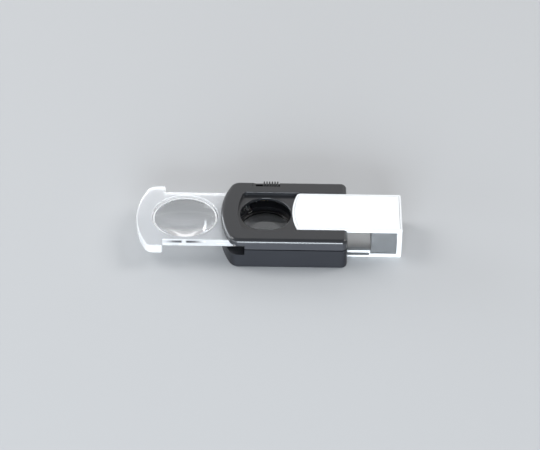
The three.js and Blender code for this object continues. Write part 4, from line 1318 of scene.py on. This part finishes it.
def rail_groove(y0, y1):
    """A groove in a rail's outer face; its end near the block is a half circle."""
    radius = RAIL_GROOVE / 2
    round_x = block_x - GROOVE_END - radius
    middle = SLEEVE_FLOOR + radius
    left = sleeve_low.x + GROOVE_STOP
    bend = [(round_x + x, middle + z) for x, z in arc(0, 0, radius, -QUARTER, QUARTER, 2 * CORNER_STEPS)]
    return extruded("groove", [(left, middle - radius), *bend, (left, middle + radius)], y0, y1)


sleeve = stacked("sleeve", sleeve_outline, round_down(SLEEVE_EDGE, 0, 4) + round_up(SLEEVE_EDGE, CASE_TOP, 4))
sleeve = cut(
    sleeve,
    block(mouth_x, block_x, -far, far, RAIL_TOP, under_top),
    block(mouth_x, block_x, -web_inner, web_inner, SLEEVE_FLOOR, RAIL_TOP + PAST),
    block(block_x - PAST, hollow_end, -hollow_half, hollow_half, BLOCK_FLOOR, under_top),
    rail_groove(web_outer, far),
    rail_groove(-far, -web_outer),
    stacked("inlay", inlay_outline, [(0, inlay_z), (0, CASE_TOP + PAST)]),
)
sleeve = break_edges(sleeve, CLEAR_BREAK)
finish_piece(sleeve, "clear_sleeve", sleeve_acrylic, "guard", ["sleeve"])

sheet_levels = round_down(SHEET_FOOT, plate_low.z, 2) + round_up(SHEET_EDGE, plate_high.z, 3)
sheet_levels += [(4 * SEAT, plate_high.z)]
top_sheet = stacked("top_sheet", inlay_outline, [(inset + SEAT, z) for inset, z in sheet_levels])
finish_piece(top_sheet, "white_top_sheet", white_plate, "guard", ["sleeve_plate"])

# %% [markdown]
# ## The switch
#
# The switch is a small black slider with six ribs for a fingernail. Its ribs reach out over the low
# wall at the case's edge, and its leg carries the contact blade inside the case. The ribs taper to a
# narrow crest, eased so that it draws its own thin highlight.

# %% Switch knob
KNOB_RIBS = 6
KNOB_BODY = 1.0
KNOB_BREAK = 0.06
RIB_BACK = 0.25
RIB_SHARE = 0.64
RIB_SHOULDER = 0.72
RIB_CREST = 0.42
RIB_EASE = 0.15

knob_bottom = switch_floor + GAP
base_top = knob_bottom + KNOB_BODY
pitch = (knob_high.x - knob_low.x) / KNOB_RIBS
half_leg = LEG_LENGTH / 2


def knob_rib(x, half):
    shoulder, crest = half * RIB_SHOULDER, half * RIB_CREST
    profile = [
        (x - half, knob_bottom), (x + half, knob_bottom), (x + half, base_top),
        (x + shoulder, CASE_TOP - RIB_EASE), (x + crest, CASE_TOP),
        (x - crest, CASE_TOP), (x - shoulder, CASE_TOP - RIB_EASE), (x - half, base_top),
    ]
    return extruded("rib", profile, knob_low.y + RIB_BACK, knob_high.y)


knob = block(knob_low.x, knob_high.x, knob_low.y, wall_y - GAP, knob_bottom, base_top)
ribs = [knob_rib(knob_low.x + pitch * (i + 0.5), pitch * RIB_SHARE / 2) for i in range(KNOB_RIBS)]
over_wall = block(
    knob_low.x - PAST, knob_high.x + PAST,
    wall_y - GAP, knob_high.y + PAST, knob_bottom - PAST, wall_top + GAP,
)
ribs = cut(join(*ribs), over_wall)
leg = block(knob_x - half_leg, knob_x + half_leg, leg_inner, leg_outer, knob_low.z, knob_bottom + SEAT)
knob = break_edges(join(knob, ribs, leg), KNOB_BREAK)
finish_piece(knob, "ribbed_switch", black_knob, "knob", ["switch_knob"])

# %% [markdown]
# ## The lamp
#
# The lamp is a clear resin bead with its dome facing down. What makes it read as a lamp is inside the
# resin: a small bright cup, and a soft yellow dot of phosphor over its chip. All three are turned on
# the lathe.

# %% Lamp
BEAD_EDGE = 0.06
CUP_RISE = 0.3
# Both profiles are pairs of radius and depth below the cup's top.
CUP = ((0, 0.3), (0.4, 0.3), (0.6, 0.7), (0.65, 0.7), (0.65, 0), (0, 0))
DOT = ((0, 0.5), (0.2, 0.48), (0.36, 0.42), (0.42, 0.3), (0, 0.3))
dome_rise = LAMP_RADIUS / 2
rim_z = lamp_high.z - LAMP_RIM_HEIGHT
rim_radius = LAMP_RADIUS + LAMP_RIM
cup_top = rim_z + CUP_RISE


def inside_lamp(name, depths, steps):
    profile = [(radius, cup_top - depth) for radius, depth in depths]
    return lathe(name, profile, lamp_x, lamp_y, steps)


bead = cap(LAMP_RADIUS, lamp_low.z + dome_rise, -dome_rise)[::-1]
bead += [(LAMP_RADIUS, rim_z), (rim_radius - BEAD_EDGE, rim_z), (rim_radius, rim_z + BEAD_EDGE)]
bead += [(rim_radius, lamp_high.z - BEAD_EDGE), (rim_radius - BEAD_EDGE, lamp_high.z), (0, lamp_high.z)]
lamp = lathe("bead", bead, lamp_x, lamp_y, steps=48)
finish_piece(lamp, "lamp_bead", lamp_resin, "case", ["lamp"])
finish_piece(inside_lamp("cup", CUP, steps=32), "lamp_cup", plated_steel, "case")

phosphor, phosphor_shader = principled("lamp_phosphor")
speck = noise(phosphor, size_mm=0.12, detail=3.0)
yellow = blend_colours(speck, (0.85, 0.62, 0.10), (0.95, 0.78, 0.25))
put(phosphor_shader, Base_Color=yellow, Roughness=0.6)
relief(phosphor_shader, speck, depth_mm=0.02)
finish_piece(inside_lamp("chip", DOT, steps=24), "lamp_chip", phosphor, "case")

# %% [markdown]
# ## The pieces inside
#
# The rest keeps the shape that the fixed model gives it, and only needs a finish: cells, contacts,
# leads, wires, the battery lid and the four screws. They hardly show, but the loupe is looked at from
# below too. Their edges get a hair of bevel from a modifier, which changes nothing in the fixed
# shape.

# %% Finishes for the carried-over pieces
INNER_BREAK = 0.03
inner_finish = (
    (black_inner, "battery_lid"),
    (red_wire, "wire_positive"),
    (black_wire, "wire_negative"),
    (spring_brass, "switch_blade contact_strip_lamp contact_strip_battery battery_contact battery_spring"),
    (plated_steel, "lamp_lead_switch lamp_lead_battery case_screw_1 case_screw_2 case_screw_3 case_screw_4"),
    (cell_nickel, "button_cell_1 button_cell_2 button_cell_3"),
)
carried = [(nodes[name], mat) for mat, names in inner_finish for name in names.split()]
for piece, mat in carried:
    give_finish(piece, mat)
    piece.modifiers.new("weld", "WELD").merge_threshold = MERGE_BELOW
    add_bevel(piece, INNER_BREAK)
print("dressed", len(made), "new pieces and", len(carried), "carried-over pieces")
